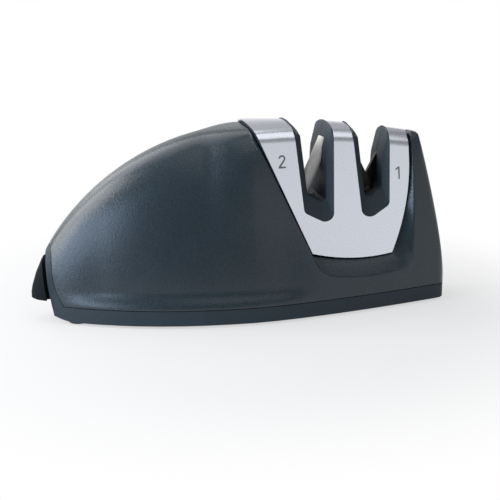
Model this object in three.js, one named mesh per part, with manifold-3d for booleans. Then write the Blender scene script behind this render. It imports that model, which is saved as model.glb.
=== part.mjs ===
// Two-stage kitchen knife sharpener with a suction foot, in millimetres, +Z up.
// X runs from the tail (lever end) to the nose, Y is the symmetry axis, Z = 0 is the table.
import * as THREE from 'three';
import { mergeVertices } from 'three/addons/utils/BufferGeometryUtils.js';
import Module from 'manifold-3d';

const wasm = await Module();
wasm.setup();

// Fits
const GAP = 0.3; // between pieces that seat on or in each other
const PIN_PLAY = 0.3; // round a pin, rod or screw in its hole

// Body skin
const TAIL_X = -100;
const HEEL_X = -90; // the tail rounds off behind here
const WIDEST_X = 0;
const NOSE_X = 98.9;
const HALF_WIDTH = 32.3;
const TAIL_HALF = 9.8;
const NOSE_HALF = 11.6;
const NOSE_ROUND = 4;
const TAIL_SWEEP = 2.42; // powers of the plan outline behind and ahead of the widest point
const NOSE_SWEEP = 1.4;
const STAND = 1.2; // the rubber feet hold the base this far off the table
const BAND_TOP = 8.4; // parting line of housing and base
const CROWN_X = 5;
const CROWN_Z = 89.4; // top of the steel
const HUMP_TOP_Z = 87.6; // top of the hump beside it
const CROWN_RADIUS = 415; // the crown line falls to the nose on this arc
const TAIL_LOW = 12;
const HUMP_SWEEP = 2.06; // powers of the hump's fall to the tail
const HUMP_ROUND = 2 / 3;
const NOSE_TOP_X = 86.5;
const NOSE_TOP_Z = 77;
const NOSE_BOW = 0.69; // power of the nose line's fall
const NOSE_BLEND = 2.5; // rounding where the nose line meets the crown line
const WALL = 2.5;
const HUMP_FULLNESS = 1.4; // the sides belly out by this power of the height
const SQUARE_TAIL = 3.1; // section power: round at the tail
const SQUARE_TOWER = 6; // and square-shouldered at the tower
const SQUARE_FROM_X = -22;
const SKIRT = 2.4; // the hump steps in above the parting line by this much
const SKIRT_LOW = 0.6; // from here above the line
const SKIRT_HIGH = 7.5; // to here
const SKIRT_END_X = 34; // and runs out flush on the way to the nose
const SKIRT_FADE = 22;

// Parting at the tail
const TAB_LONG = 9.8; // the lever's tab fills the tail behind the seam
const SEAM_X = TAIL_X + TAB_LONG; // also the rear edge of the heel legs, at the table
const SEAM_RUN = 4.6; // the seam swings forward by this much on its way down to the parting line
const SEAM_RISE = 16.6;
const SEAM_BEND = 7.6; // height of the swing's control point
const HEEL_BOW = 4.4; // how far the bow's control point lies behind the seam
const HEEL_BOW_Z = 25;
const HEEL_TOP_X = SEAM_X - 1.8;
const HEEL_LIFT = 2.4; // the sole curves up at the heel
const HEEL_LIFT_RUN = 10;

// Sharpening tower
const FACE_X = 39.8; // the near steel face passes through this point
const FACE_Z = 76.5;
const FACE_HALF = 15.8;
const FACE_TAPER = THREE.MathUtils.degToRad(12);
const FACE_TILT = THREE.MathUtils.degToRad(7.3);
const CROWN_RISE = 2.7;
const BEND_RADIUS = 5;
const BEND_STEPS = 4;
const SHEET = 0.7;

// Recess for the tower
const SHOULDER_X = 1.7; // the hump's end face passes here, at this height
const SHOULDER_Z = 85;
const SHOULDER_LEAN = THREE.MathUtils.degToRad(25);
const SHELF_THICK = 3;
const RECESS_DEPTH = 2.2; // rim above the steel face
const RECESS_FLOOR = 1.6; // inner edge of the scoop, below the steel face
const RIM_TAIL_Z = 20.5; // rim of the recess, where it meets the skin
const RIM_LOW_Z = 14.6;
const RIM_NOSE_Z = 19.5;
const RIM_NOSE_X = 81;
const RIM_FOOT_BACK = 1.5; // the rim's low corner lies this far behind it
const RIM_BOW = 0.8;
const PLATE_TAIL_Z = 29.6; // lower edge of the steel face, falling from the hump to the nose
const PLATE_LOW_Z = 26;
const PLATE_BOW_Z = 23.4; // control point of its bow
const PLATE_NOSE_X = 70.2;
const PLATE_SIDE_X = 79.8;
const PLATE_SIDE_Z = 68;
const PLATE_TOP_BACK = 1;
const SHADOW_GAP = 0.6; // dark line between hump and steel
const LEDGE_WALL = 6.2; // the ledge outside slopes in, so the room below it is narrower
const HEADROOM = 10; // cutters that are open at the top end this far above the crown

// Knife slots
const CUT_LEAN_TAIL = 0.115; // sideways run of each cutout edge per mm of height
const CUT_LEAN_NOSE = 0.015;
const CUT_WIDTH = 15; // at the sharp corner
const CUT_CORNER_Z = 49.3;
const CUT_LOW_Z = 41.6;
const CUT_FILLET = 6.5;
const CUT_SHARP = 1.6; // small fillet of the other corner
const FINE_CUT_X = 24.4;
const COARSE_CUT_X = 53.5;
const SLOT_BEVEL = 2.7;
const SLOT_SILL = 7; // slot floor above the cutout's sharp corner
const SLOT_SILL_LOW = 9.8; // and above its filleted one
const SLOT_OVERRUN = 2; // the slot's cutter stands out of the faces by this much
const PRONG_PROUD = 0.5;
const FLARE_DEEP = 14; // the slots flare open toward the nose above this depth
const FLARE_EDGE = 0.8; // and end there in a chamfer of this depth at the crown

// Abrasives
const ROD_HALF_ANGLE = THREE.MathUtils.degToRad(23);
const ROD_RADIUS = 3;
const ROD_ABOVE = 23.4;
const ROD_BELOW = 16;
const FINE_CROSS = new THREE.Vector2(29.6, 59.2);
const BLADE_HALF_ANGLE = THREE.MathUtils.degToRad(27);
const BLADE_WIDTH = 6;
const BLADE_THICK = 2.4;
const BLADE_ABOVE = 24;
const BLADE_BELOW = 12;
const COARSE_CROSS = new THREE.Vector2(60.4, 55.2);
const RIVET_RADIUS = 0.9;
const RIVET_HEAD = 1.5;
const RIVET_HEAD_HIGH = 0.6;

// Base tray
const FLOOR = 2.2;
const LIP = 1.5; // the tray's inner lip stands up inside the housing
const LIP_HIGH = 2;
const ARCH_WALL = 2.4; // of the heel arch round the lever opening
const NOTCH_X = SEAM_X + 3.2; // the floor ends here between the legs
const LIP_BACK = 9; // the lip starts this far ahead of it

// Suction foot
const STEM_X = -24;
const PAD_RADIUS = 24;
const PAD_LIFT = 0.3; // relaxed rim above the table
const PAD_DISH = 1.6; // hollow under the pad
const PAD_THICK = 1.1; // at the rim
const PAD_EDGE = 0.3; // chamfer of the rim
const DRUM_PLAY = 1.4; // pad rim to drum wall
const DRUM_WALL = 1.8;
const DRUM_ROOF_Z = 11.6;
const STEM_RADIUS = 4;
const STEM_FOOT_RADIUS = 9;
const STEM_FOOT_Z = 3.2;
const STEM_FOOT_HIGH = 1.9;
const STEM_CHAMFER = 1;
const STEM_TONGUE = 6; // thickness across Y, between the fork arms
const BOSS_WALL = 2.6;
const BOSS_TOP = 15.5;
const BOSS_ROOT = 1; // of the boss in the drum's roof
const HUB_WALL = 2.2;
const HUB_LIP = 1.2;
const HUB_ROOT = 1; // fillet of the hub on the pad

// Lever
const PIVOT_X = -44;
const PIVOT_Z = 21;
const PIVOT_RADIUS = 2;
const LEVER_HALF = 7;
const LEVER_UNDER = 10.6; // flat underside of the thumb tab
const TAB_GAP = 1.6; // tab to heel, so that it clears the legs on its way down
const LEVER_ARM = 8; // height of the arm at the pivot
const LEVER_INSET = 0.4; // below the hump's skin
const LEVER_PLAY = 0.7; // in the arch
const NECK_X = SEAM_X + 4.2;
const NECK_DROP = 2;
const ARM_X = SEAM_X + 12.2;
const ARM_RIM = 2; // round the pockets in the arm
const FORK_REACH = 6; // fork past the stem axis
const FORK_DEPTH = 12;
const ARM_POCKET = 4;
const STEM_PIN_RADIUS = 1.5;
const PIN_SLOT = 0.5; // half length of the fork's slot past the pin
const POST_THICK = 4;
const POST_HALF = 5;

// Fasteners and feet
const SCREW_RADIUS = 1.5;
const SCREW_HEAD = 2.9;
const SCREW_HEAD_HIGH = 1.7;
const SCREW_LENGTH = 13;
const SHANK_ROOT = 0.1; // of the shank in the head
const DRIVE_HALF = 0.4; // driver slot in the head
const DRIVE_DEEP = 0.6;
const BOSS_RADIUS = 4;
const TRAY_BOSS_MORE = 1; // the tray's bosses are this much larger
const SCREW_PLACES = [[-64, 16.5], [-64, -16.5], [66, 9], [66, -9]];
const CARTRIDGE_SCREW_X = 46;
const CARTRIDGE_SCREW_Y = 8;
const FOOT_RADIUS = 5;
const FOOT_SEAT = 0.8;
const FOOT_ROUND = 0.5;
const FOOT_PLACES = [[-79, 9], [-79, -9], [84, 8], [84, -8]];

// Colours
const SLATE = new THREE.MeshStandardMaterial({ color: 0x2f3942, roughness: 0.5, metalness: 0 });
const BLACK = new THREE.MeshStandardMaterial({ color: 0x1c2024, roughness: 0.5, metalness: 0 });
const STEEL = new THREE.MeshStandardMaterial({ color: 0xc8cbd6, roughness: 0.3, metalness: 1 });
const CERAMIC = new THREE.MeshStandardMaterial({ color: 0xe9e6dc, roughness: 0.6, metalness: 0 });
const CARBIDE = new THREE.MeshStandardMaterial({ color: 0x55524e, roughness: 0.4, metalness: 0.8 });
const RUBBER = new THREE.MeshStandardMaterial({ color: 0x18191b, roughness: 0.9, metalness: 0 });

// Solids

const FAR = 400; // longer than the object, for cutters that pass right through
const ROUND = 16; // sides of a small round piece
const ROUND_LARGE = 36;

function solid(geometry) {
  const bare = geometry.index ? geometry.toNonIndexed() : geometry.clone();
  bare.deleteAttribute('normal');
  bare.deleteAttribute('uv');
  const merged = mergeVertices(bare, 1e-4);
  const vertProperties = new Float32Array(merged.attributes.position.array);
  const triVerts = new Uint32Array(merged.index.array);
  return new wasm.Manifold(new wasm.Mesh({ numProp: 3, vertProperties, triVerts }));
}

function mesh(name, body, material) {
  const { vertProperties, triVerts } = body.getMesh();
  const geometry = new THREE.BufferGeometry();
  geometry.setAttribute('position', new THREE.BufferAttribute(new Float32Array(vertProperties), 3));
  geometry.setIndex(new THREE.BufferAttribute(new Uint32Array(triVerts), 1));
  geometry.computeVertexNormals();
  const made = new THREE.Mesh(geometry, material);
  made.name = name;
  return made;
}

// A closed skin over rings of equal point counts. Rings run in order, each one counter-clockwise
// when seen from the far end.
function loft(rings) {
  const count = rings[0].length;
  const points = rings.flat();
  const faces = [];
  for (let r = 0; r + 1 < rings.length; r += 1) {
    for (let i = 0; i < count; i += 1) {
      const a = r * count + i;
      const b = r * count + (i + 1) % count;
      faces.push(a, b, b + count, a, b + count, a + count);
    }
  }
  const cap = (ring, offset, flip) => {
    const normal = new THREE.Vector3();
    ring.forEach((p, i) => normal.add(new THREE.Vector3().crossVectors(p, ring[(i + 1) % count])));
    normal.normalize();
    const across = new THREE.Vector3().subVectors(ring[1], ring[0]).normalize();
    const upward = new THREE.Vector3().crossVectors(normal, across);
    const flat = ring.map((p) => new THREE.Vector2(p.dot(across), p.dot(upward)));
    for (const [a, b, c] of THREE.ShapeUtils.triangulateShape(flat, [])) {
      faces.push(offset + a, offset + (flip ? c : b), offset + (flip ? b : c));
    }
  };
  cap(rings[0], 0, true);
  cap(rings.at(-1), (rings.length - 1) * count, false);
  const geometry = new THREE.BufferGeometry().setFromPoints(points);
  geometry.setIndex(faces);
  const body = solid(geometry);
  if (body.volume() > 0) {
    return body;
  }
  faces.reverse();
  geometry.setIndex(faces);
  return solid(geometry);
}

// A shape drawn in X and Z, extruded from y0 to y1
function prismAlongY(shape, y0 = -FAR / 2, y1 = FAR / 2) {
  const depth = y1 - y0;
  const geometry = new THREE.ExtrudeGeometry(shape, { depth, bevelEnabled: false, curveSegments: 8 });
  geometry.rotateX(Math.PI / 2);
  geometry.translate(0, y1, 0);
  return solid(geometry);
}

// A shape drawn in Y and Z, extruded from x0 to x1
function prismAlongX(shape, x0, x1) {
  const depth = x1 - x0;
  const geometry = new THREE.ExtrudeGeometry(shape, { depth, bevelEnabled: false, curveSegments: 6 });
  geometry.rotateX(Math.PI / 2);
  geometry.rotateZ(Math.PI / 2);
  geometry.translate(x0, 0, 0);
  return solid(geometry);
}

function box(x0, x1, y0, y1, z0, z1) {
  const geometry = new THREE.BoxGeometry(x1 - x0, y1 - y0, z1 - z0);
  geometry.translate((x0 + x1) / 2, (y0 + y1) / 2, (z0 + z1) / 2);
  return solid(geometry);
}

function upright(x, y, radius, z0, z1, sides = ROUND) {
  const geometry = new THREE.CylinderGeometry(radius, radius, z1 - z0, sides);
  geometry.rotateX(Math.PI / 2);
  geometry.translate(x, y, (z0 + z1) / 2);
  return solid(geometry);
}

function crosswise(x, z, radius, y0, y1, sides = ROUND) {
  const geometry = new THREE.CylinderGeometry(radius, radius, y1 - y0, sides);
  geometry.translate(x, (y0 + y1) / 2, z);
  return solid(geometry);
}

function turned(x, y, profile, sides = ROUND) {
  const geometry = new THREE.LatheGeometry(profile.map(([r, z]) => new THREE.Vector2(r, z)), sides);
  geometry.rotateX(Math.PI / 2);
  geometry.translate(x, y, 0);
  return solid(geometry);
}

function polygon(points) {
  return new THREE.Shape(points.map(([x, z]) => new THREE.Vector2(x, z)));
}

// Body skin

const smoothstep = THREE.MathUtils.smoothstep;

function planHalf(x) {
  if (x < HEEL_X) {
    const u = (HEEL_X - x) / (HEEL_X - TAIL_X);
    return TAIL_HALF * Math.sqrt(Math.max(0, 1 - u * u));
  }
  if (x < WIDEST_X) {
    const u = (x - HEEL_X) / (WIDEST_X - HEEL_X);
    return TAIL_HALF + (HALF_WIDTH - TAIL_HALF) * (1 - (1 - u) ** TAIL_SWEEP);
  }
  const v = (x - WIDEST_X) / (NOSE_X - WIDEST_X);
  const side = HALF_WIDTH - (HALF_WIDTH - NOSE_HALF) * v ** NOSE_SWEEP;
  const past = Math.max(0, x - (NOSE_X - NOSE_ROUND));
  return side - (NOSE_ROUND - Math.sqrt(Math.max(0, NOSE_ROUND ** 2 - past ** 2)));
}

// Top of the tower
function crownLine(x) {
  return CROWN_Z - (x - CROWN_X) ** 2 / (2 * CROWN_RADIUS);
}

// Top of the body's skin: the hump, then the crown line on the way to the nose
function humpLine(x) {
  if (x < CROWN_X) {
    const u = (CROWN_X - x) / (CROWN_X - TAIL_X);
    return TAIL_LOW + (HUMP_TOP_Z - TAIL_LOW) * Math.max(0, 1 - u ** HUMP_SWEEP) ** HUMP_ROUND;
  }
  return crownLine(x) - (CROWN_Z - HUMP_TOP_Z) * (1 - smoothstep(x, CROWN_X, RIM_NOSE_X));
}

function topLine(x) {
  const u = Math.max(0, NOSE_X - x) / (NOSE_X - NOSE_TOP_X);
  const nose = BAND_TOP + (NOSE_TOP_Z - BAND_TOP) * u ** NOSE_BOW;
  const crown = humpLine(x);
  const mix = THREE.MathUtils.clamp(0.5 + (nose - crown) / (2 * NOSE_BLEND), 0, 1);
  return THREE.MathUtils.lerp(nose, crown, mix) - NOSE_BLEND * mix * (1 - mix);
}

function faceHalf(x, z) {
  const taper = (x - FACE_X) * Math.tan(FACE_TAPER);
  const tilt = (FACE_Z - z) * Math.tan(FACE_TILT) / Math.cos(FACE_TAPER);
  return FACE_HALF - taper + tilt;
}

function shoulderHalf(x) {
  if (x < WIDEST_X) {
    return planHalf(x) * faceHalf(WIDEST_X, humpLine(WIDEST_X)) / HALF_WIDTH;
  }
  return faceHalf(x, humpLine(x));
}

function skirtStep(z) {
  return SKIRT * smoothstep(z, BAND_TOP + SKIRT_LOW, BAND_TOP + SKIRT_HIGH);
}

// Half width of the skin where the height is the given share of the way to the top line
function skinHalf(x, share) {
  const z = BAND_TOP + (topLine(x) - BAND_TOP) * share;
  const rise = Math.max(0, (z - BAND_TOP) / (humpLine(x) - BAND_TOP)) ** HUMP_FULLNESS;
  const stepIn = skirtStep(z) * (1 - rise);
  const fadeIn = smoothstep(x, HEEL_X, HEEL_X + SKIRT_FADE);
  const fadeOut = smoothstep(x, SKIRT_END_X - SKIRT_FADE, SKIRT_END_X);
  const side = THREE.MathUtils.lerp(planHalf(x), shoulderHalf(x), rise) - stepIn * (fadeIn - fadeOut);
  const square = THREE.MathUtils.lerp(SQUARE_TAIL, SQUARE_TOWER, smoothstep(x, SQUARE_FROM_X, WIDEST_X));
  return side * Math.max(0, 1 - share ** square) ** (1 / square);
}

const SHARES = [0, 0.03, 0.06, 0.1, 0.2, 0.34, 0.5, 0.65, 0.78, 0.88, 0.95, 0.985];

function bodyRing(x, inset, bottom) {
  const least = 0.2;
  const top = Math.max(topLine(x) - inset, BAND_TOP + least);
  const near = [new THREE.Vector3(x, -Math.max(planHalf(x) - inset, least), bottom)];
  for (const share of SHARES) {
    const z = BAND_TOP + (top - BAND_TOP) * share;
    near.push(new THREE.Vector3(x, -Math.max(skinHalf(x, share) - inset, least), z));
  }
  const far = near.map((p) => new THREE.Vector3(p.x, -p.y, p.z)).reverse();
  return [...near, new THREE.Vector3(x, 0, top), ...far];
}

const STATIONS = 28;
const END_SKIP = 0.15; // the end rings stop this short, so that they keep some area

function bodyLoft(inset = 0, bottom = STAND, fromX = TAIL_X, toX = NOSE_X) {
  const rings = [];
  for (let i = 0; i <= STATIONS; i += 1) {
    const share = (1 - Math.cos((Math.PI * i) / STATIONS)) / 2;
    rings.push(bodyRing(THREE.MathUtils.lerp(fromX + END_SKIP, toX - END_SKIP, share), inset, bottom));
  }
  return loft(rings);
}

// The plan outline, drawn in by an inset, as an upright prism
function planPrism(inset, fromX, toX, z0, z1) {
  const near = [];
  for (let i = 0; i <= STATIONS; i += 1) {
    const x = THREE.MathUtils.lerp(fromX, toX, (1 - Math.cos((Math.PI * i) / STATIONS)) / 2);
    near.push(new THREE.Vector2(x, inset - planHalf(x)));
  }
  const far = near.map((p) => new THREE.Vector2(p.x, -p.y)).reverse();
  const shape = new THREE.Shape([...near, ...far]);
  const geometry = new THREE.ExtrudeGeometry(shape, { depth: z1 - z0, bevelEnabled: false });
  geometry.translate(0, 0, z0);
  return solid(geometry);
}

// Side outlines that several pieces share

function shoulderX(z) {
  return SHOULDER_X + (SHOULDER_Z - z) * Math.tan(SHOULDER_LEAN);
}

const ABOVE = CROWN_Z + HEADROOM;

// The steel face seen from the side, with every edge moved out by grow
function plateOutline(grow) {
  const shape = new THREE.Shape();
  const tailX = shoulderX(PLATE_TAIL_Z) - grow;
  const sideX = PLATE_SIDE_X + grow;
  const noseX = PLATE_NOSE_X + grow;
  const lowZ = PLATE_LOW_Z - grow;
  shape.moveTo(shoulderX(ABOVE) - grow, ABOVE);
  shape.lineTo(tailX, PLATE_TAIL_Z - grow);
  shape.quadraticCurveTo((tailX + PLATE_NOSE_X) / 2, PLATE_BOW_Z - grow, noseX, lowZ);
  shape.quadraticCurveTo(sideX, (PLATE_LOW_Z + PLATE_SIDE_Z) / 2, sideX, PLATE_SIDE_Z);
  shape.lineTo(sideX - PLATE_TOP_BACK, ABOVE);
  return shape;
}

// The rim of the recess seen from the side, point for point with the steel face inside it
function recessRim() {
  const shape = new THREE.Shape();
  const tailX = shoulderX(RIM_TAIL_Z);
  shape.moveTo(shoulderX(ABOVE), ABOVE);
  shape.lineTo(tailX, RIM_TAIL_Z);
  shape.quadraticCurveTo((tailX + RIM_NOSE_X) / 2, RIM_LOW_Z, RIM_NOSE_X - RIM_FOOT_BACK, RIM_NOSE_Z);
  shape.quadraticCurveTo(RIM_NOSE_X + RIM_BOW, (RIM_NOSE_Z + PLATE_SIDE_Z) / 3, RIM_NOSE_X, PLATE_SIDE_Z);
  shape.lineTo(RIM_NOSE_X, ABOVE);
  return shape;
}

const CURVE_STEPS = 6;

// Everything above the parting line and in front of the heel
function housingSide(gap) {
  const shape = new THREE.Shape();
  const seam = SEAM_X - gap;
  const part = BAND_TOP - gap;
  shape.moveTo(seam, FAR);
  shape.lineTo(seam, part + SEAM_RISE);
  shape.quadraticCurveTo(seam, part + SEAM_BEND, seam + SEAM_RUN, part);
  shape.lineTo(FAR, part);
  shape.lineTo(FAR, FAR);
  return prismAlongY(shape);
}

function towerRing(x, inset, bottom) {
  const crown = crownLine(x) - inset;
  const bend = crown - CROWN_RISE;
  const half = (z) => faceHalf(x, z) - inset;
  const near = [new THREE.Vector3(x, -half(bottom), bottom)];
  const shoulder = half(bend);
  const start = shoulder - BEND_RADIUS;
  const onCrown = (y) => new THREE.Vector3(x, -y, crown - CROWN_RISE * (y / shoulder) ** 2);
  const foot = new THREE.Vector3(x, -half(bend - BEND_RADIUS), bend - BEND_RADIUS);
  const turn = new THREE.QuadraticBezierCurve3(foot, new THREE.Vector3(x, -shoulder, bend), onCrown(start));
  near.push(...turn.getPoints(BEND_STEPS));
  near.push(...[0.75, 0.5, 0.25].map((share) => onCrown(start * share)));
  const far = near.map((p) => new THREE.Vector3(p.x, -p.y, p.z)).reverse();
  return [...near, new THREE.Vector3(x, 0, crown), ...far];
}

function towerLoft(inset, bottom, reach = 0) {
  const steps = 10;
  const fromX = shoulderX(CROWN_Z + WALL) - reach;
  const toX = RIM_NOSE_X + reach;
  const rings = [];
  for (let i = 0; i <= steps; i += 1) {
    rings.push(towerRing(THREE.MathUtils.lerp(fromX, toX, i / steps), inset, bottom));
  }
  return loft(rings);
}

const FILLET_HANDLE = 0.45; // share of the tangent, for a round fillet in the cutout's narrow corner

// A cutout in the steel, open at the top. low is where the filleted low corner lies: 1 on the nose
// side, -1 on the tail side. shrink draws every edge in.
function cutoutPoints(cornerX, low, shrink, sill = 0, sillLow = 0) {
  const tail = (z) => cornerX - (z - CUT_CORNER_Z) * CUT_LEAN_TAIL + shrink;
  const nose = (z) => cornerX + CUT_WIDTH + (z - CUT_CORNER_Z) * CUT_LEAN_NOSE - shrink;
  const sharpZ = CUT_CORNER_Z + sill + Math.min(shrink, GAP);
  const lowZ = CUT_LOW_Z + sillLow + Math.min(shrink, GAP);
  const fillet = CUT_FILLET - shrink;
  const lowX = low > 0 ? nose(lowZ) : tail(lowZ);
  const sharpX = low > 0 ? tail(sharpZ) : nose(sharpZ);
  const outline = new THREE.Path();
  const sideX = low > 0 ? nose : tail;
  const across = (lowX - sharpX) / Math.abs(lowX - sharpX);
  const fall = (sharpZ - lowZ) / Math.abs(lowX - sharpX);
  const roundX = low > 0 ? tail(sharpZ + CUT_SHARP) : nose(sharpZ + CUT_SHARP);
  outline.moveTo(roundX, sharpZ + CUT_SHARP);
  outline.quadraticCurveTo(sharpX, sharpZ, sharpX + across * CUT_SHARP, sharpZ - fall * CUT_SHARP);
  const startX = lowX - low * fillet;
  const startZ = lowZ + fillet * fall;
  const endX = sideX(lowZ + fillet);
  const endZ = lowZ + fillet;
  const towards = (a, b) => THREE.MathUtils.lerp(a, b, FILLET_HANDLE);
  outline.lineTo(startX, startZ);
  outline.bezierCurveTo(
    towards(startX, lowX), towards(startZ, lowZ), towards(endX, lowX), towards(endZ, lowZ), endX, endZ);
  const points = outline.getPoints(4);
  const topFirst = new THREE.Vector2(low > 0 ? nose(ABOVE) : tail(ABOVE), ABOVE);
  const topLast = new THREE.Vector2(low > 0 ? tail(ABOVE) : nose(ABOVE), ABOVE);
  return [...points, topFirst, topLast];
}

function cutoutPrism(cornerX, low, shrink) {
  return prismAlongY(new THREE.Shape(cutoutPoints(cornerX, low, shrink)));
}

// Points of a side outline, laid parallel to the steel face at a depth below it
function onFace(points, depth, side) {
  return points.map((p) => new THREE.Vector3(p.x, side * (faceHalf(p.x, p.y) - depth), p.y));
}

function onMiddle(points, side) {
  return points.map((p) => new THREE.Vector3(p.x, -side, p.y));
}

// A knife slot with bevelled mouths on both faces and over the crown
function slotCutter(cornerX, low) {
  const land = GAP * 2;
  const wide = cutoutPoints(cornerX, low, land);
  const tight = cutoutPoints(cornerX, low, SLOT_BEVEL + land, SLOT_SILL, SLOT_SILL_LOW);
  const beyond = wide.map((p, i) => p.clone().lerp(tight[i], -SLOT_OVERRUN / SLOT_BEVEL));
  const mouth = (side) => loft([
    onFace(beyond, -SLOT_OVERRUN, side), onFace(tight, SLOT_BEVEL, side), onMiddle(tight, side)]);
  const middleX = cornerX + CUT_WIDTH / 2;
  const reach = faceHalf(middleX, CROWN_Z - CROWN_RISE);
  const edge = (x, depth, y) => {
    const z = crownLine(x) + PRONG_PROUD - depth - CROWN_RISE * (y / reach) ** 2;
    return new THREE.Vector3(x, y, z);
  };
  const rise = CROWN_Z - CUT_CORNER_Z;
  const tailX = (depth) => cornerX - (rise - depth) * CUT_LEAN_TAIL;
  const noseX = (depth) => cornerX + CUT_WIDTH + (rise - depth) * CUT_LEAN_NOSE;
  const chamfer = [[-SLOT_OVERRUN, land - SLOT_OVERRUN], [SLOT_BEVEL, land + SLOT_BEVEL]];
  const flare = [
    [FLARE_DEEP, SLOT_BEVEL + land * 2], [FLARE_EDGE, land + FLARE_EDGE / 2], chamfer[0]];
  const crownRings = [-1.2, -1, -0.6, -0.2, 0.2, 0.6, 1, 1.2].map((share) => [
    ...flare.map(([depth, shrink]) => edge(noseX(depth) - shrink, depth, reach * share)),
    ...chamfer.map(([depth, shrink]) => edge(tailX(depth) + shrink, depth, reach * share))]);
  return mouth(-1).add(mouth(1)).add(loft(crownRings));
}

// Abrasives

// A bar that leans from the vertical, at a crossing point, in a plane of constant Y
function leaning(geometry, cross, lean, y, above, below) {
  geometry.translate(0, (above - below) / 2, 0);
  geometry.rotateX(Math.PI / 2);
  geometry.rotateY(lean);
  geometry.translate(cross.x, y, cross.y);
  return solid(geometry);
}

function rod(lean, y, play) {
  const length = ROD_ABOVE + ROD_BELOW + 2 * play;
  const geometry = new THREE.CylinderGeometry(ROD_RADIUS + play, ROD_RADIUS + play, length, ROUND);
  return leaning(geometry, FINE_CROSS, lean, y, ROD_ABOVE + play, ROD_BELOW + play);
}

function blade(lean, y, play) {
  const length = BLADE_ABOVE + BLADE_BELOW + 2 * play;
  const geometry = new THREE.BoxGeometry(BLADE_WIDTH + 2 * play, length, BLADE_THICK + 2 * play);
  return leaning(geometry, COARSE_CROSS, lean, y, BLADE_ABOVE + play, BLADE_BELOW + play);
}

const ROD_Y = ROD_RADIUS + GAP;
const BLADE_Y = (BLADE_THICK + GAP) / 2;
const RODS = [
  ['ceramic_rod_left', -ROD_HALF_ANGLE, ROD_Y], ['ceramic_rod_right', ROD_HALF_ANGLE, -ROD_Y]];
const BLADES = [
  ['carbide_blade_left', -BLADE_HALF_ANGLE, -BLADE_Y], ['carbide_blade_right', BLADE_HALF_ANGLE, BLADE_Y]];

function rivetHole() {
  return crosswise(COARSE_CROSS.x, COARSE_CROSS.y, RIVET_RADIUS + PIN_PLAY, -FAR / 2, FAR / 2, 16);
}

const RIVET_INNER = BLADE_Y + BLADE_THICK / 2 + GAP;
const RIVET_OUTER = RIVET_INNER + RIVET_HEAD_HIGH;

function rivet() {
  const shank = crosswise(COARSE_CROSS.x, COARSE_CROSS.y, RIVET_RADIUS, -RIVET_OUTER, RIVET_OUTER, 16);
  const head = (y0, y1) => crosswise(COARSE_CROSS.x, COARSE_CROSS.y, RIVET_HEAD, y0, y1, 16);
  return shank.add(head(-RIVET_OUTER, -RIVET_INNER)).add(head(RIVET_INNER, RIVET_OUTER));
}

// Room in the slot moulding for the rivet's heads
function rivetRoom() {
  const reach = RIVET_OUTER + GAP;
  return crosswise(COARSE_CROSS.x, COARSE_CROSS.y, RIVET_HEAD + PIN_PLAY, -reach, reach, 16);
}

// Fasteners

function screw(x, y, seatZ) {
  const under = seatZ - SCREW_HEAD_HIGH;
  const drive = box(x - FAR, x + FAR, y - DRIVE_HALF, y + DRIVE_HALF, under - FAR, under + DRIVE_DEEP);
  const head = upright(x, y, SCREW_HEAD, under, seatZ).subtract(drive);
  return head.add(upright(x, y, SCREW_RADIUS, seatZ - SHANK_ROOT, seatZ + SCREW_LENGTH, 12));
}

function screwHole(x, y, fromZ, toZ) {
  return upright(x, y, SCREW_RADIUS + PIN_PLAY, fromZ, toZ, 12);
}

const FLOOR_TOP = STAND + FLOOR;
const SCREW_SEAT = FLOOR_TOP - GAP; // underside of the tray's boss, less the fit
const TRAY_BOSS_TOP = FLOOR_TOP + FLOOR;
const SHELF_UNDER = PLATE_LOW_Z - SHELF_THICK;
const CARTRIDGE_SCREWS = [['front', -CARTRIDGE_SCREW_Y], ['rear', CARTRIDGE_SCREW_Y]];

// Housing

// The scoop in both sides: straight in to the rim, then sloped down to the steel face, then through
function recessCutter() {
  const rim = recessRim().getPoints(CURVE_STEPS);
  const plate = plateOutline(0).getPoints(CURVE_STEPS);
  const half = (side) => loft([
    onFace(rim, -HALF_WIDTH, side), onFace(rim, -RECESS_DEPTH, side),
    onFace(plate, RECESS_FLOOR, side), onMiddle(plate, side)]);
  return half(-1).add(half(1));
}

function housingCavity() {
  const inner = bodyLoft(WALL, -STAND, SEAM_X - WALL, NOSE_X - WALL);
  const backX = (z) => shoulderX(z) - WALL / Math.cos(SHOULDER_LEAN);
  const underHump = prismAlongY(polygon([
    [-FAR, -STAND], [backX(SHELF_UNDER), -STAND], [backX(SHELF_UNDER), SHELF_UNDER],
    [backX(CROWN_Z), CROWN_Z], [-FAR, CROWN_Z]]));
  const underShelf = planPrism(LEDGE_WALL, backX(CROWN_Z), NOSE_TOP_X, -STAND, SHELF_UNDER);
  const underLedge = planPrism(WALL, backX(CROWN_Z), NOSE_TOP_X, -STAND, RIM_LOW_Z);
  return inner.intersect(underHump).add(underShelf).add(underLedge);
}

function housing(skin) {
  let bosses = null;
  for (const [x, y] of SCREW_PLACES) {
    const boss = upright(x, y, BOSS_RADIUS, TRAY_BOSS_TOP + GAP, CROWN_Z);
    bosses = bosses ? bosses.add(boss) : boss;
  }
  const ceiling = box(TAIL_X, NOSE_X, -FAR, FAR, 0, PLATE_LOW_Z);
  let body = skin.subtract(housingCavity()).add(bosses.intersect(skin).intersect(ceiling));
  body = body.intersect(housingSide(0)).subtract(recessCutter());
  for (const [x, y] of SCREW_PLACES) {
    body = body.subtract(screwHole(x, y, 0, SCREW_SEAT + SCREW_LENGTH + GAP));
  }
  for (const [, y] of CARTRIDGE_SCREWS) {
    body = body.subtract(screwHole(CARTRIDGE_SCREW_X, y, SHELF_UNDER - GAP, PLATE_TAIL_Z));
  }
  return body;
}

// Steel saddle

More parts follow.
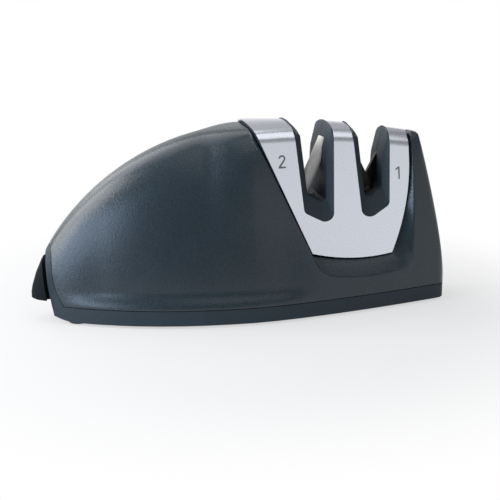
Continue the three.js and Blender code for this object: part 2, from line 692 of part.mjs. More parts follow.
function saddle() {
  const sheet = towerLoft(0, RIM_LOW_Z).subtract(towerLoft(SHEET, RIM_LOW_Z - WALL, WALL));
  return sheet.intersect(prismAlongY(plateOutline(-SHADOW_GAP)))
    .subtract(cutoutPrism(FINE_CUT_X, 1, 0))
    .subtract(cutoutPrism(COARSE_CUT_X, -1, 0));
}

// Slot cartridge, in two halves that meet at the middle

function cartridge() {
  const core = towerLoft(SHEET + GAP, RIM_LOW_Z);
  const proud = towerLoft(-PRONG_PROUD, RIM_LOW_Z);
  const prongs = cutoutPrism(FINE_CUT_X, 1, GAP).add(cutoutPrism(COARSE_CUT_X, -1, GAP));
  let body = core.add(proud.intersect(prongs)).intersect(prismAlongY(plateOutline(-GAP)));
  body = body.subtract(slotCutter(FINE_CUT_X, 1)).subtract(slotCutter(COARSE_CUT_X, -1));
  for (const [, lean, y] of RODS) {
    body = body.subtract(rod(lean, y, PIN_PLAY));
  }
  for (const [, lean, y] of BLADES) {
    body = body.subtract(blade(lean, y, PIN_PLAY));
  }
  body = body.subtract(rivetRoom());
  for (const [, y] of CARTRIDGE_SCREWS) {
    body = body.subtract(screwHole(CARTRIDGE_SCREW_X, y, 0, SHELF_UNDER + SCREW_LENGTH));
  }
  return body;
}

function cartridgeHalf(whole, side) {
  const inner = GAP / 2;
  const outer = HALF_WIDTH * 2;
  const y = side > 0 ? [inner, outer] : [-outer, -inner];
  return whole.intersect(box(TAIL_X, NOSE_X, y[0], y[1], 0, CROWN_Z * 2));
}

// Base tray

const PIN_ARM = STEM_X - PIVOT_X; // pivot to stem
const DRUM_INNER = PAD_RADIUS + DRUM_PLAY;
const LIP_FROM = NOTCH_X + LIP_BACK;

function heelSide() {
  const shape = new THREE.Shape();
  shape.moveTo(FAR, 0);
  shape.lineTo(FAR, FAR);
  shape.lineTo(HEEL_TOP_X, FAR);
  const soleZ = STAND + HEEL_LIFT;
  shape.lineTo(HEEL_TOP_X, humpLine(HEEL_TOP_X));
  shape.quadraticCurveTo(SEAM_X - HEEL_BOW, HEEL_BOW_Z, SEAM_X, soleZ);
  shape.quadraticCurveTo(SEAM_X + HEEL_LIFT_RUN / 2, STAND, SEAM_X + HEEL_LIFT_RUN, STAND);
  shape.lineTo(SEAM_X + HEEL_LIFT_RUN, 0);
  return prismAlongY(shape);
}

// The lever opening: the heel's own section, drawn in by the arch's wall and a gap
function archPrism(gap, fromX, toX) {
  const section = bodyRing(HEEL_TOP_X, ARCH_WALL + gap, -STAND);
  return prismAlongX(new THREE.Shape(section.map((p) => new THREE.Vector2(p.y, p.z))), fromX, toX);
}

function trayWalls(skin) {
  const outside = skin.intersect(heelSide()).subtract(housingSide(GAP));
  const lipTop = BAND_TOP + LIP_HIGH;
  const lipOuter = WALL + GAP * 2 + skirtStep(lipTop);
  const lipTo = NOSE_TOP_X - GAP * 2;
  let lip = planPrism(lipOuter, LIP_FROM, lipTo, FLOOR_TOP - GAP, lipTop);
  for (const [x, y] of SCREW_PLACES) {
    lip = lip.subtract(upright(x, y, BOSS_RADIUS + GAP, TRAY_BOSS_TOP, CROWN_Z));
  }
  const room = planPrism(lipOuter + LIP, LIP_FROM + LIP, lipTo - LIP, FLOOR_TOP, CROWN_Z);
  return outside.add(lip).subtract(room);
}

function tray(skin) {
  let body = trayWalls(skin);
  body = body.add(upright(STEM_X, 0, DRUM_INNER + DRUM_WALL, STAND, DRUM_ROOF_Z, ROUND_LARGE));
  const bossRadius = STEM_RADIUS + PIN_PLAY + BOSS_WALL;
  body = body.add(upright(STEM_X, 0, bossRadius, DRUM_ROOF_Z - BOSS_ROOT, BOSS_TOP));
  for (const side of [-1, 1]) {
    const inner = LEVER_HALF + GAP * 2;
    const y = [side * inner, side * (inner + POST_THICK)].sort((a, b) => a - b);
    const post = box(PIVOT_X - POST_HALF, PIVOT_X + POST_HALF, y[0], y[1], FLOOR_TOP, PIVOT_Z)
      .add(crosswise(PIVOT_X, PIVOT_Z, POST_HALF, y[0], y[1]));
    body = body.add(post);
  }
  for (const [x, y] of SCREW_PLACES) {
    body = body.add(upright(x, y, BOSS_RADIUS + TRAY_BOSS_MORE, STAND, TRAY_BOSS_TOP));
  }
  const drumUnder = DRUM_ROOF_Z - FLOOR;
  body = body.subtract(upright(STEM_X, 0, DRUM_INNER, -STAND, drumUnder, ROUND_LARGE));
  body = body.subtract(upright(STEM_X, 0, STEM_RADIUS + PIN_PLAY, 0, CROWN_Z));
  body = body.subtract(crosswise(PIVOT_X, PIVOT_Z, PIVOT_RADIUS + PIN_PLAY, -HALF_WIDTH, HALF_WIDTH));
  body = body.subtract(archPrism(0, TAIL_X * 2, NOTCH_X));
  const wellHalf = LEVER_HALF + LEVER_PLAY; // the lever's neck dips into a well behind the heel
  const wellTo = LIP_FROM + LIP + GAP;
  body = body.subtract(box(NOTCH_X - GAP, wellTo, -wellHalf, wellHalf, FLOOR_TOP, PIVOT_Z));
  for (const [x, y] of SCREW_PLACES) {
    body = body.subtract(upright(x, y, SCREW_HEAD + PIN_PLAY, -STAND, FLOOR_TOP));
    body = body.subtract(screwHole(x, y, 0, CROWN_Z));
  }
  for (const [x, y] of FOOT_PLACES) {
    body = body.subtract(upright(x, y, FOOT_RADIUS + GAP, -STAND, STAND + FOOT_SEAT));
  }
  return body;
}

function foot(x, y) {
  const top = STAND + FOOT_SEAT - GAP;
  return turned(x, y, [
    [0, 0], [FOOT_RADIUS - FOOT_ROUND, 0], [FOOT_RADIUS, FOOT_ROUND], [FOOT_RADIUS, top], [0, top]]);
}

// Suction foot

function pad() {
  const seat = STEM_FOOT_Z - GAP;
  const roof = STEM_FOOT_Z + STEM_FOOT_HIGH + GAP;
  const bore = STEM_FOOT_RADIUS + GAP;
  const hub = bore + HUB_WALL;
  const neck = STEM_RADIUS + PIN_PLAY;
  return turned(STEM_X, 0, [
    [0, PAD_LIFT + PAD_DISH], [PAD_RADIUS * 0.4, PAD_LIFT + PAD_DISH * 0.85],
    [PAD_RADIUS * 0.8, PAD_LIFT + PAD_DISH * 0.35], [PAD_RADIUS - PAD_EDGE, PAD_LIFT],
    [PAD_RADIUS, PAD_LIFT + PAD_EDGE], [PAD_RADIUS - PAD_EDGE, PAD_LIFT + PAD_THICK],
    [hub + HUB_ROOT, seat + HUB_ROOT / 2], [hub, seat + HUB_ROOT * 1.5], [hub, roof + HUB_LIP],
    [neck, roof + HUB_LIP], [neck, roof], [bore, roof], [bore, seat], [0, seat]], ROUND_LARGE);
}

function stem() {
  const top = PIVOT_Z + LEVER_ARM / 2;
  const shaft = turned(STEM_X, 0, [
    [0, STEM_FOOT_Z], [STEM_FOOT_RADIUS, STEM_FOOT_Z], [STEM_FOOT_RADIUS, STEM_FOOT_Z + STEM_FOOT_HIGH],
    [STEM_RADIUS, STEM_FOOT_Z + STEM_FOOT_HIGH], [STEM_RADIUS, top - STEM_CHAMFER],
    [STEM_RADIUS - STEM_CHAMFER, top], [0, top]]);
  const flats = box(-FAR, FAR, -STEM_TONGUE / 2, STEM_TONGUE / 2, BOSS_TOP, FAR)
    .add(box(-FAR, FAR, -FAR, FAR, -FAR, BOSS_TOP));
  const pinHole = crosswise(STEM_X, PIVOT_Z, STEM_PIN_RADIUS + PIN_PLAY, -FAR, FAR, 16);
  return shaft.intersect(flats).subtract(pinHole);
}

// Lever: a thumb tab that closes the tail, an arm through the arch, and a fork round the stem

function leverSide() {
  const half = LEVER_ARM / 2;
  const forkX = STEM_X + FORK_REACH;
  const shape = new THREE.Shape();
  shape.moveTo(TAIL_X * 2, LEVER_UNDER);
  shape.lineTo(NECK_X, LEVER_UNDER);
  shape.lineTo(ARM_X, PIVOT_Z - half - NECK_DROP);
  shape.lineTo(PIVOT_X, PIVOT_Z - half);
  shape.lineTo(forkX - half, PIVOT_Z - half);
  shape.quadraticCurveTo(forkX, PIVOT_Z - half, forkX, PIVOT_Z);
  shape.quadraticCurveTo(forkX, PIVOT_Z + half, forkX - half, PIVOT_Z + half);
  shape.lineTo(ARM_X, PIVOT_Z + half);
  shape.lineTo(NECK_X, humpLine(HEEL_TOP_X) - ARCH_WALL);
  shape.lineTo(NECK_X, CROWN_Z);
  shape.lineTo(TAIL_X * 2, CROWN_Z);
  return shape;
}

function lever() {
  const skin = bodyLoft(LEVER_INSET, STAND);
  const tab = skin.subtract(heelSide().translate([-TAB_GAP, 0, 0]))
    .intersect(box(TAIL_X * 2, NOSE_X, -FAR, FAR, LEVER_UNDER, FAR));
  let body = prismAlongY(leverSide(), -LEVER_HALF, LEVER_HALF).intersect(skin);
  body = body.intersect(archPrism(LEVER_PLAY, TAIL_X * 2, NOSE_X)).add(tab);
  const web = LEVER_HALF - ARM_POCKET;
  const pocketTop = PIVOT_Z + LEVER_ARM / 2 - ARM_RIM;
  const pocketUnder = PIVOT_Z - LEVER_ARM / 2 + ARM_RIM;
  for (const side of [-1, 1]) {
    const y = [side * web, side * LEVER_HALF * 2].sort((a, b) => a - b);
    body = body.subtract(box(ARM_X, PIVOT_X - POST_HALF - ARM_RIM, y[0], y[1], pocketUnder, pocketTop));
  }
  const forkInner = STEM_TONGUE / 2 + GAP;
  body = body.subtract(box(STEM_X + FORK_REACH - FORK_DEPTH, FAR, -forkInner, forkInner, 0, CROWN_Z));
  body = body.subtract(crosswise(PIVOT_X, PIVOT_Z, PIVOT_RADIUS + PIN_PLAY, -FAR, FAR));
  const hole = STEM_PIN_RADIUS + PIN_PLAY;
  for (const shift of [-PIN_SLOT, PIN_SLOT]) {
    body = body.subtract(crosswise(STEM_X + shift, PIVOT_Z, hole, -FAR, FAR, 16));
  }
  return body.subtract(box(STEM_X - PIN_SLOT, STEM_X + PIN_SLOT, -FAR, FAR, PIVOT_Z - hole, PIVOT_Z + hole));
}

// Assembly

const skin = bodyLoft();
const wholeCartridge = cartridge();
const sharpener = new THREE.Group();
sharpener.add(mesh('housing', housing(skin), SLATE));
sharpener.add(mesh('base_tray', tray(skin), SLATE));
sharpener.add(mesh('steel_saddle', saddle(), STEEL));
sharpener.add(mesh('slot_cartridge_front', cartridgeHalf(wholeCartridge, -1), SLATE));
sharpener.add(mesh('slot_cartridge_rear', cartridgeHalf(wholeCartridge, 1), SLATE));
for (const [name, lean, y] of RODS) {
  sharpener.add(mesh(name, rod(lean, y, 0), CERAMIC));
}
for (const [name, lean, y] of BLADES) {
  sharpener.add(mesh(name, blade(lean, y, 0).subtract(rivetHole()), CARBIDE));
}
sharpener.add(mesh('carbide_rivet', rivet(), STEEL));
for (const [name, y] of CARTRIDGE_SCREWS) {
  sharpener.add(mesh(`cartridge_screw_${name}`, screw(CARTRIDGE_SCREW_X, y, SHELF_UNDER - GAP), STEEL));
}
SCREW_PLACES.forEach(([x, y], i) => {
  sharpener.add(mesh(`base_screw_${i + 1}`, screw(x, y, SCREW_SEAT), STEEL));
});
FOOT_PLACES.forEach(([x, y], i) => {
  sharpener.add(mesh(`rubber_foot_${i + 1}`, foot(x, y), RUBBER));
});
sharpener.add(mesh('suction_lever', lever(), BLACK));
const pivotReach = LEVER_HALF + GAP * 2 + POST_THICK;
const pivotPin = crosswise(PIVOT_X, PIVOT_Z, PIVOT_RADIUS, -pivotReach, pivotReach);
sharpener.add(mesh('lever_pivot_pin', pivotPin, STEEL));
sharpener.add(mesh('suction_stem', stem(), BLACK));
const stemPin = crosswise(STEM_X, PIVOT_Z, STEM_PIN_RADIUS, -LEVER_HALF, LEVER_HALF, 16);
sharpener.add(mesh('stem_pin', stemPin, STEEL));
sharpener.add(mesh('suction_pad', pad(), RUBBER));

export default sharpener;
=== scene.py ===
"""Looks of a two-stage knife sharpener with a suction foot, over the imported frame.

Sizes are in millimetres in the frame of the solids: X from the tail to the nose, Z up from the table.
"""

import math

import bmesh
import bpy
from mathutils import Matrix, Vector


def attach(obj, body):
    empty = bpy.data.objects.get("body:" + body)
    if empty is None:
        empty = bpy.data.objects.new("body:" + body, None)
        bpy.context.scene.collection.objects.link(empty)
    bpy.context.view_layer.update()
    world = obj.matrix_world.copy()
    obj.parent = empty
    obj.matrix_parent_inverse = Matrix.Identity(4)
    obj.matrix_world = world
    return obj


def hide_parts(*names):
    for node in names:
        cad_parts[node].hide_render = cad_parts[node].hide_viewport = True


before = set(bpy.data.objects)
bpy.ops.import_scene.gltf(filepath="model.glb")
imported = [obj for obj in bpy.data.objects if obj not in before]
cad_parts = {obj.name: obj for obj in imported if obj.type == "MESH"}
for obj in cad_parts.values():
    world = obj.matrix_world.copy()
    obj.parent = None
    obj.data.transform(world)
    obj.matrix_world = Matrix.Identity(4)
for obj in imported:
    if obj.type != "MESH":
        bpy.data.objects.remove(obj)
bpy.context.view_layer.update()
MM = 0.001

# Body skin
TAIL_X = -100
HEEL_X = -90
WIDEST_X = 0
NOSE_X = 98.9
HALF_WIDTH = 32.3
TAIL_HALF = 9.8
NOSE_HALF = 11.6
NOSE_ROUND = 4
TAIL_SWEEP = 2.42
NOSE_SWEEP = 1.4
END_SKIP = 0.15  # how far the shell stops short of the plan's end at the nose
BAND_TOP = 8.4
CROWN_X = 5
CROWN_Z = 89.4
HUMP_TOP_Z = 87.6
CROWN_RADIUS = 415
TAIL_LOW = 12
HUMP_SWEEP = 2.06
HUMP_ROUND = 2 / 3
NOSE_TOP_X = 86.5
NOSE_TOP_Z = 77
NOSE_BOW = 0.69
NOSE_BLEND = 2.5
HUMP_FULLNESS = 1.4
SQUARE_TAIL = 3.1
SQUARE_TOWER = 6
SQUARE_FROM_X = -22
SKIRT = 2.4
SKIRT_LOW = 0.6
SKIRT_HIGH = 7.5
SKIRT_END_X = 34
SKIRT_FADE = 22
SEAM_X = -90.2
SEAM_RUN = 4.6
SEAM_RISE = 16.6
SEAM_BEND = 7.6
SHELL = 2.0

# Sharpening tower and its recess
FACE_X = 39.8
FACE_Z = 76.5
FACE_HALF = 15.8
FACE_TAPER = math.radians(12)
FACE_TILT = math.radians(7.3)
CROWN_RISE = 2.7
BEND_RADIUS = 5
BEND_STEPS = 14
SHEET = 0.7
SHOULDER_X = 1.7
SHOULDER_Z = 85
SHOULDER_LEAN = math.radians(25)
RECESS_FLOOR = 1.6
RIM_TAIL_Z = 20.5
RIM_LOW_Z = 14.6
RIM_NOSE_Z = 19.5
RIM_NOSE_X = 81
RIM_FOOT_BACK = 1.5
RIM_BOW = 0.8
RIM_WALL = 3.2
RIM_FILLET = 6  # rounding of the rim's low corners, seen from the side
FILLET_SHARE = 0.14  # share of the rim's columns that a rounded corner takes
PLATE_TAIL_Z = 29.6
PLATE_LOW_Z = 26
PLATE_BOW_Z = 23.4
PLATE_NOSE_X = 70.2
PLATE_SIDE_X = 79.8
PLATE_SIDE_Z = 68
PLATE_TOP_BACK = 1
SHADOW_GAP = 0.6
ABOVE = CROWN_Z + 10  # height that clears the whole part

# Knife slots
CUT_LEAN_TAIL = 0.115
CUT_LEAN_NOSE = 0.015
CUT_WIDTH = 15
CUT_CORNER_Z = 49.3
CUT_LOW_Z = 41.6
CUT_FILLET = 6.5
CUT_SHARP = 1.6
FILLET_HANDLE = 0.45
FINE_CUT_X = 24.4
COARSE_CUT_X = 53.5


def clamp(value, low=0.0, high=1.0):
    return max(low, min(high, value))


def lerp(a, b, t):
    return a + (b - a) * t


def smoothstep(value, low, high):
    t = clamp((value - low) / (high - low))
    return t * t * (3 - 2 * t)


def bezier(start, control, end, t):
    weights = ((1 - t) ** 2, 2 * t * (1 - t), t * t)
    return tuple(weights[0] * a + weights[1] * b + weights[2] * c for a, b, c in zip(start, control, end))


def solve(error, low, high):
    """The value between low and high where a rising error passes zero."""
    for _ in range(40):
        middle = (low + high) / 2
        if error(middle) > 0:
            high = middle
        else:
            low = middle
    return (low + high) / 2


# Skin of the body

def plan_half(x):
    if x < HEEL_X:
        u = (HEEL_X - x) / (HEEL_X - TAIL_X)
        return TAIL_HALF * math.sqrt(max(0, 1 - u * u))
    if x < WIDEST_X:
        u = (x - HEEL_X) / (WIDEST_X - HEEL_X)
        return TAIL_HALF + (HALF_WIDTH - TAIL_HALF) * (1 - (1 - u) ** TAIL_SWEEP)
    v = (x - WIDEST_X) / (NOSE_X - WIDEST_X)
    side = HALF_WIDTH - (HALF_WIDTH - NOSE_HALF) * v ** NOSE_SWEEP
    past = max(0, x - (NOSE_X - NOSE_ROUND))
    return side - (NOSE_ROUND - math.sqrt(max(0, NOSE_ROUND ** 2 - past ** 2)))


def crown_line(x):
    """Top of the tower."""
    return CROWN_Z - (x - CROWN_X) ** 2 / (2 * CROWN_RADIUS)


def hump_line(x):
    """Top of the body's skin: the hump, then the crown line on the way to the nose."""
    if x < CROWN_X:
        u = (CROWN_X - x) / (CROWN_X - TAIL_X)
        return TAIL_LOW + (HUMP_TOP_Z - TAIL_LOW) * max(0, 1 - u ** HUMP_SWEEP) ** HUMP_ROUND
    return crown_line(x) - (CROWN_Z - HUMP_TOP_Z) * (1 - smoothstep(x, CROWN_X, RIM_NOSE_X))


def top_line(x):
    u = max(0, NOSE_X - x) / (NOSE_X - NOSE_TOP_X)
    nose = BAND_TOP + (NOSE_TOP_Z - BAND_TOP) * u ** NOSE_BOW
    crown = hump_line(x)
    mix = clamp(0.5 + (nose - crown) / (2 * NOSE_BLEND))
    return lerp(nose, crown, mix) - NOSE_BLEND * mix * (1 - mix)


def face_half(x, z):
    taper = (x - FACE_X) * math.tan(FACE_TAPER)
    tilt = (FACE_Z - z) * math.tan(FACE_TILT) / math.cos(FACE_TAPER)
    return FACE_HALF - taper + tilt


def shoulder_half(x):
    if x < WIDEST_X:
        return plan_half(x) * face_half(WIDEST_X, hump_line(WIDEST_X)) / HALF_WIDTH
    return face_half(x, hump_line(x))


def section_power(x):
    return lerp(SQUARE_TAIL, SQUARE_TOWER, smoothstep(x, SQUARE_FROM_X, WIDEST_X))


def skin_point(x, share):
    """A point of the near side, where the height is that share of the way to the top line."""
    z = BAND_TOP + (top_line(x) - BAND_TOP) * share
    rise = max(0, (z - BAND_TOP) / (hump_line(x) - BAND_TOP)) ** HUMP_FULLNESS
    step_in = SKIRT * smoothstep(z, BAND_TOP + SKIRT_LOW, BAND_TOP + SKIRT_HIGH) * (1 - rise)
    fade_in = smoothstep(x, HEEL_X, HEEL_X + SKIRT_FADE)
    fade_out = smoothstep(x, SKIRT_END_X - SKIRT_FADE, SKIRT_END_X)
    side = lerp(plan_half(x), shoulder_half(x), rise) - step_in * (fade_in - fade_out)
    power = section_power(x)
    return Vector((x, -side * max(0, 1 - share ** power) ** (1 / power), z))


def shoulder_x(z):
    return SHOULDER_X + (SHOULDER_Z - z) * math.tan(SHOULDER_LEAN)


def seam_x(z):
    """The tail seam: upright, then swinging forward on its way down to the parting line."""
    top = (SEAM_X, BAND_TOP + SEAM_RISE)
    bend = (SEAM_X, BAND_TOP + SEAM_BEND)
    foot = (SEAM_X + SEAM_RUN, BAND_TOP)
    t = solve(lambda t: z - bezier(top, bend, foot, t)[1], 0, 1)
    return bezier(top, bend, foot, t)[0]


RIM_TAIL = (shoulder_x(RIM_TAIL_Z), RIM_TAIL_Z)
RIM_NOSE = (RIM_NOSE_X - RIM_FOOT_BACK, RIM_NOSE_Z)
RIM_TOP = (RIM_NOSE_X, PLATE_SIDE_Z)
PLATE_TAIL = (shoulder_x(PLATE_TAIL_Z), PLATE_TAIL_Z)
PLATE_NOSE = (PLATE_NOSE_X, PLATE_LOW_Z)
PLATE_TOP = (PLATE_SIDE_X, PLATE_SIDE_Z)


def plain_low(t):
    """The recess rim from corner to corner, before its corners are rounded."""
    return bezier(RIM_TAIL, ((RIM_TAIL[0] + RIM_NOSE_X) / 2, RIM_LOW_Z), RIM_NOSE, t)


def plain_side(t):
    return bezier(RIM_NOSE, (RIM_NOSE_X + RIM_BOW, (RIM_NOSE_Z + PLATE_SIDE_Z) / 3), RIM_TOP, t)


LOW_SKIP = RIM_FILLET / (RIM_NOSE[0] - RIM_TAIL[0])
SIDE_SKIP = RIM_FILLET / (PLATE_SIDE_Z - RIM_NOSE_Z)
SHOULDER_END = (shoulder_x(RIM_TAIL_Z + RIM_FILLET), RIM_TAIL_Z + RIM_FILLET)
TAIL_CORNER = (SHOULDER_END, RIM_TAIL, plain_low(LOW_SKIP))
NOSE_CORNER = (plain_low(1 - LOW_SKIP), RIM_NOSE, plain_side(SIDE_SKIP))
TAIL_MIDDLE = bezier(*TAIL_CORNER, 0.5)
NOSE_MIDDLE = bezier(*NOSE_CORNER, 0.5)


def rim_low(t):
    """The rim under the recess, from the middle of one rounded corner to that of the other."""
    if t < FILLET_SHARE:
        return bezier(*TAIL_CORNER, 0.5 + 0.5 * t / FILLET_SHARE)
    if t > 1 - FILLET_SHARE:
        return bezier(*NOSE_CORNER, 0.5 - 0.5 * (1 - t) / FILLET_SHARE)
    return plain_low(lerp(LOW_SKIP, 1 - LOW_SKIP, (t - FILLET_SHARE) / (1 - 2 * FILLET_SHARE)))


def rim_side(t):
    if t < FILLET_SHARE:
        return bezier(*NOSE_CORNER, 0.5 + 0.5 * t / FILLET_SHARE)
    return plain_side(lerp(SIDE_SKIP, 1, (t - FILLET_SHARE) / (1 - FILLET_SHARE)))


def shoulder_edge(z):
    """The hump's end at a height: the shoulder, then its rounded corner on the rim."""
    if z >= SHOULDER_END[1]:
        return shoulder_x(z)
    t = solve(lambda t: z - bezier(*TAIL_CORNER, t)[1], 0, 0.5)
    return bezier(*TAIL_CORNER, t)[0]


def plate_low(t):
    return bezier(PLATE_TAIL, ((PLATE_TAIL[0] + PLATE_NOSE_X) / 2, PLATE_BOW_Z), PLATE_NOSE, t)


def plate_side(t):
    return bezier(PLATE_NOSE, (PLATE_SIDE_X, (PLATE_LOW_Z + PLATE_SIDE_Z) / 2), PLATE_TOP, t)


def rim_share(z):
    """How far up the nose edge of the recess a height lies, as the curve's own parameter."""
    return solve(lambda t: rim_side(t)[1] - z, 0, 1)


# Meshes

MERGE = 0.002  # corners closer than this are one
PRISM_HALF = 60


def mesh_object(name, points, faces):
    mesh = bpy.data.meshes.new(name)
    mesh.from_pydata([Vector(p) * MM for p in points], [], faces)
    made = bpy.data.objects.new(name, mesh)
    bpy.context.scene.collection.objects.link(made)
    return made


def edit(made, work):
    """Runs work on the object's mesh as a bmesh."""
    shape = bmesh.new()
    shape.from_mesh(made.data)
    work(shape)
    shape.to_mesh(made.data)
    shape.free()


def merge(made):
    edit(made, lambda shape: bmesh.ops.remove_doubles(shape, verts=shape.verts, dist=MERGE * MM))


def face_out(made):
    edit(made, lambda shape: bmesh.ops.recalc_face_normals(shape, faces=shape.faces))


def apply_modifiers(made):
    graph = bpy.context.evaluated_depsgraph_get()
    mesh = bpy.data.meshes.new_from_object(made.evaluated_get(graph))
    made.modifiers.clear()
    made.data = mesh


def round_edges(made, width, angle=28, segments=3):
    """Rounds every edge that is sharper than the angle."""
    bevel = made.modifiers.new("round", "BEVEL")
    bevel.width = width * MM
    bevel.segments = segments
    bevel.limit_method = "ANGLE"
    bevel.angle_limit = math.radians(angle)
    bevel.miter_outer = "MITER_ARC"
    bevel.use_clamp_overlap = True
    apply_modifiers(made)


def round_convex(made, width, share, angle=24, segments=4):
    """Rounds the convex edges, each by its own share of the width at the edge's middle."""
    def work(shape):
        layer = shape.edges.layers.float.new("bevel_weight_edge")
        for edge in shape.edges:
            if len(edge.link_faces) == 2 and edge.is_convex:
                if edge.calc_face_angle() > math.radians(angle):
                    edge[layer] = share((edge.verts[0].co + edge.verts[1].co) / (2 * MM))

    edit(made, work)
    bevel = made.modifiers.new("round", "BEVEL")
    bevel.width = width * MM
    bevel.segments = segments
    bevel.limit_method = "WEIGHT"
    bevel.use_clamp_overlap = False
    apply_modifiers(made)


def smooth(made, angle=32):
    made.data.shade_smooth()
    made.data.set_sharp_from_angle(angle=math.radians(angle))


def flatten_shading(made):
    """Lets the large faces keep their own shading, so that only the rounded edges turn."""
    normals = made.modifiers.new("normals", "WEIGHTED_NORMAL")
    normals.keep_sharp = True
    apply_modifiers(made)


def cut(made, tool, operation="DIFFERENCE"):
    step = made.modifiers.new("cut", "BOOLEAN")
    step.operation = operation
    step.solver = "EXACT"
    step.object = tool
    apply_modifiers(made)
    bpy.data.objects.remove(tool)


def prism(name, outline, low=-PRISM_HALF, high=PRISM_HALF):
    """A side outline, drawn in X and Z, as a prism across Y."""
    count = len(outline)
    points = [(x, low, z) for x, z in outline] + [(x, high, z) for x, z in outline]
    faces = [tuple(range(count)), tuple(reversed(range(count, 2 * count)))]
    faces += [(i, i + count, (i + 1) % count + count, (i + 1) % count) for i in range(count)]
    made = mesh_object(name, points, faces)
    face_out(made)
    return made


def loft(name, rings):
    """A closed skin over rings of equal point counts."""
    count = len(rings[0])
    points = [p for ring in rings for p in ring]
    last = (len(rings) - 1) * count
    faces = [tuple(range(count)), tuple(reversed(range(last, last + count)))]
    for r in range(len(rings) - 1):
        for i in range(count):
            a = r * count + i
            b = r * count + (i + 1) % count
            faces.append((a, a + count, b + count, b))
    made = mesh_object(name, points, faces)
    face_out(made)
    return made


def copy_of(node, name):
    """The node's own solid as a new piece, with its shared corners joined."""
    made = bpy.data.objects.new(name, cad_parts[node].data.copy())
    bpy.context.scene.collection.objects.link(made)
    made.data.materials.clear()
    merge(made)
    return made


def plain_faces(made, angle=0.6):
    """Joins the flat triangles of a solid into whole faces."""
    edit(made, lambda shape: bmesh.ops.dissolve_limit(
        shape, angle_limit=math.radians(angle), verts=shape.verts, edges=shape.edges))


def finish_piece(made, material, slot, body, *nodes):
    made.data.materials.clear()
    made.data.materials.append(material)
    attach(made, body)
    if nodes:
        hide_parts(*nodes)
    return made


# Materials

def new_material(name, colour, roughness, metallic=0.0):
    material = bpy.data.materials.new(name)
    material.use_nodes = True
    shader = material.node_tree.nodes["Principled BSDF"]
    shader.inputs["Base Color"].default_value = (*colour, 1)
    shader.inputs["Roughness"].default_value = roughness
    shader.inputs["Metallic"].default_value = metallic
    return material, shader


def object_noise(material, scale, detail=2.0, stretch=(1, 1, 1)):
    """Noise in the object's own coordinates, with a scale in features per metre."""
    nodes = material.node_tree.nodes
    links = material.node_tree.links
    place = nodes.new("ShaderNodeTexCoord")
    mapping = nodes.new("ShaderNodeMapping")
    mapping.inputs["Scale"].default_value = stretch
    noise = nodes.new("ShaderNodeTexNoise")
    noise.inputs["Scale"].default_value = scale
    noise.inputs["Detail"].default_value = detail
    links.new(place.outputs["Object"], mapping.inputs["Vector"])
    links.new(mapping.outputs["Vector"], noise.inputs["Vector"])
    return noise.outputs["Fac"]


def ramp(material, source, low, high, from_low=0.3, from_high=0.7):
    nodes = material.node_tree.nodes
    spread = nodes.new("ShaderNodeMapRange")
    spread.inputs["From Min"].default_value = from_low
    spread.inputs["From Max"].default_value = from_high
    spread.inputs["To Min"].default_value = low
    spread.inputs["To Max"].default_value = high
    material.node_tree.links.new(source, spread.inputs["Value"])
    return spread.outputs["Result"]


def bump(material, shader, source, depth, strength=1.0):
    nodes = material.node_tree.nodes
    links = material.node_tree.links
    node = nodes.new("ShaderNodeBump")
    node.inputs["Strength"].default_value = strength
    node.inputs["Distance"].default_value = depth * MM
    links.new(source, node.inputs["Height"])
    links.new(node.outputs["Normal"], shader.inputs["Normal"])


def vary_colour(material, shader, source, dark, light):
    nodes = material.node_tree.nodes
    mix = nodes.new("ShaderNodeMix")
    mix.data_type = "RGBA"
    mix.inputs["A"].default_value = (*dark, 1)
    mix.inputs["B"].default_value = (*light, 1)
    material.node_tree.links.new(source, mix.inputs["Factor"])
    material.node_tree.links.new(mix.outputs["Result"], shader.inputs["Base Color"])


def slate_plastic():
    material, shader = new_material("slate_plastic", (0.0195, 0.0305, 0.038), 0.27)
    grain = object_noise(material, 1300, 3)
    vary_colour(material, shader, ramp(material, object_noise(material, 90), 0, 1),
                (0.0185, 0.029, 0.036), (0.0205, 0.032, 0.04))
    material.node_tree.links.new(ramp(material, grain, 0.22, 0.32), shader.inputs["Roughness"])
    bump(material, shader, grain, 0.11, 0.9)
    return material


def dull_plastic():
    """The slate plastic of the base and the slot mouldings, from a duller mould than the grip's."""
    material, shader = new_material("dull_plastic", (0.0195, 0.0305, 0.039), 0.58)
    shader.inputs["Specular IOR Level"].default_value = 0.3
    grain = object_noise(material, 1500, 3)
    vary_colour(material, shader, ramp(material, object_noise(material, 90), 0, 1),
                (0.0185, 0.029, 0.037), (0.0205, 0.032, 0.041))
    material.node_tree.links.new(ramp(material, grain, 0.54, 0.64), shader.inputs["Roughness"])
    bump(material, shader, grain, 0.03, 0.5)
    return material


def black_plastic():
    # Black plastic whose colour is made darker still as painted shade, for the lever that sits under the
    # tail's overhang.
    material, shader = new_material("black_plastic", (0.006, 0.0078, 0.01), 0.62)
    shader.inputs["Specular IOR Level"].default_value = 0.05
    grain = object_noise(material, 1800, 2)
    vary_colour(material, shader, ramp(material, object_noise(material, 120), 0, 1),
                (0.0052, 0.0068, 0.0088), (0.0068, 0.0088, 0.0112))
    material.node_tree.links.new(ramp(material, grain, 0.56, 0.68), shader.inputs["Roughness"])
    bump(material, shader, grain, 0.03, 0.5)
    return material


def satin_steel():
    material, shader = new_material("satin_steel", (0.76, 0.79, 0.87), 0.27, 1.0)
    brush = object_noise(material, 1, 2, (60, 2600, 2600))
    vary_colour(material, shader, ramp(material, brush, 0, 1), (0.75, 0.78, 0.86), (0.77, 0.8, 0.88))
    material.node_tree.links.new(ramp(material, brush, 0.25, 0.29), shader.inputs["Roughness"])
    bump(material, shader, brush, 0.001, 0.3)
    return material


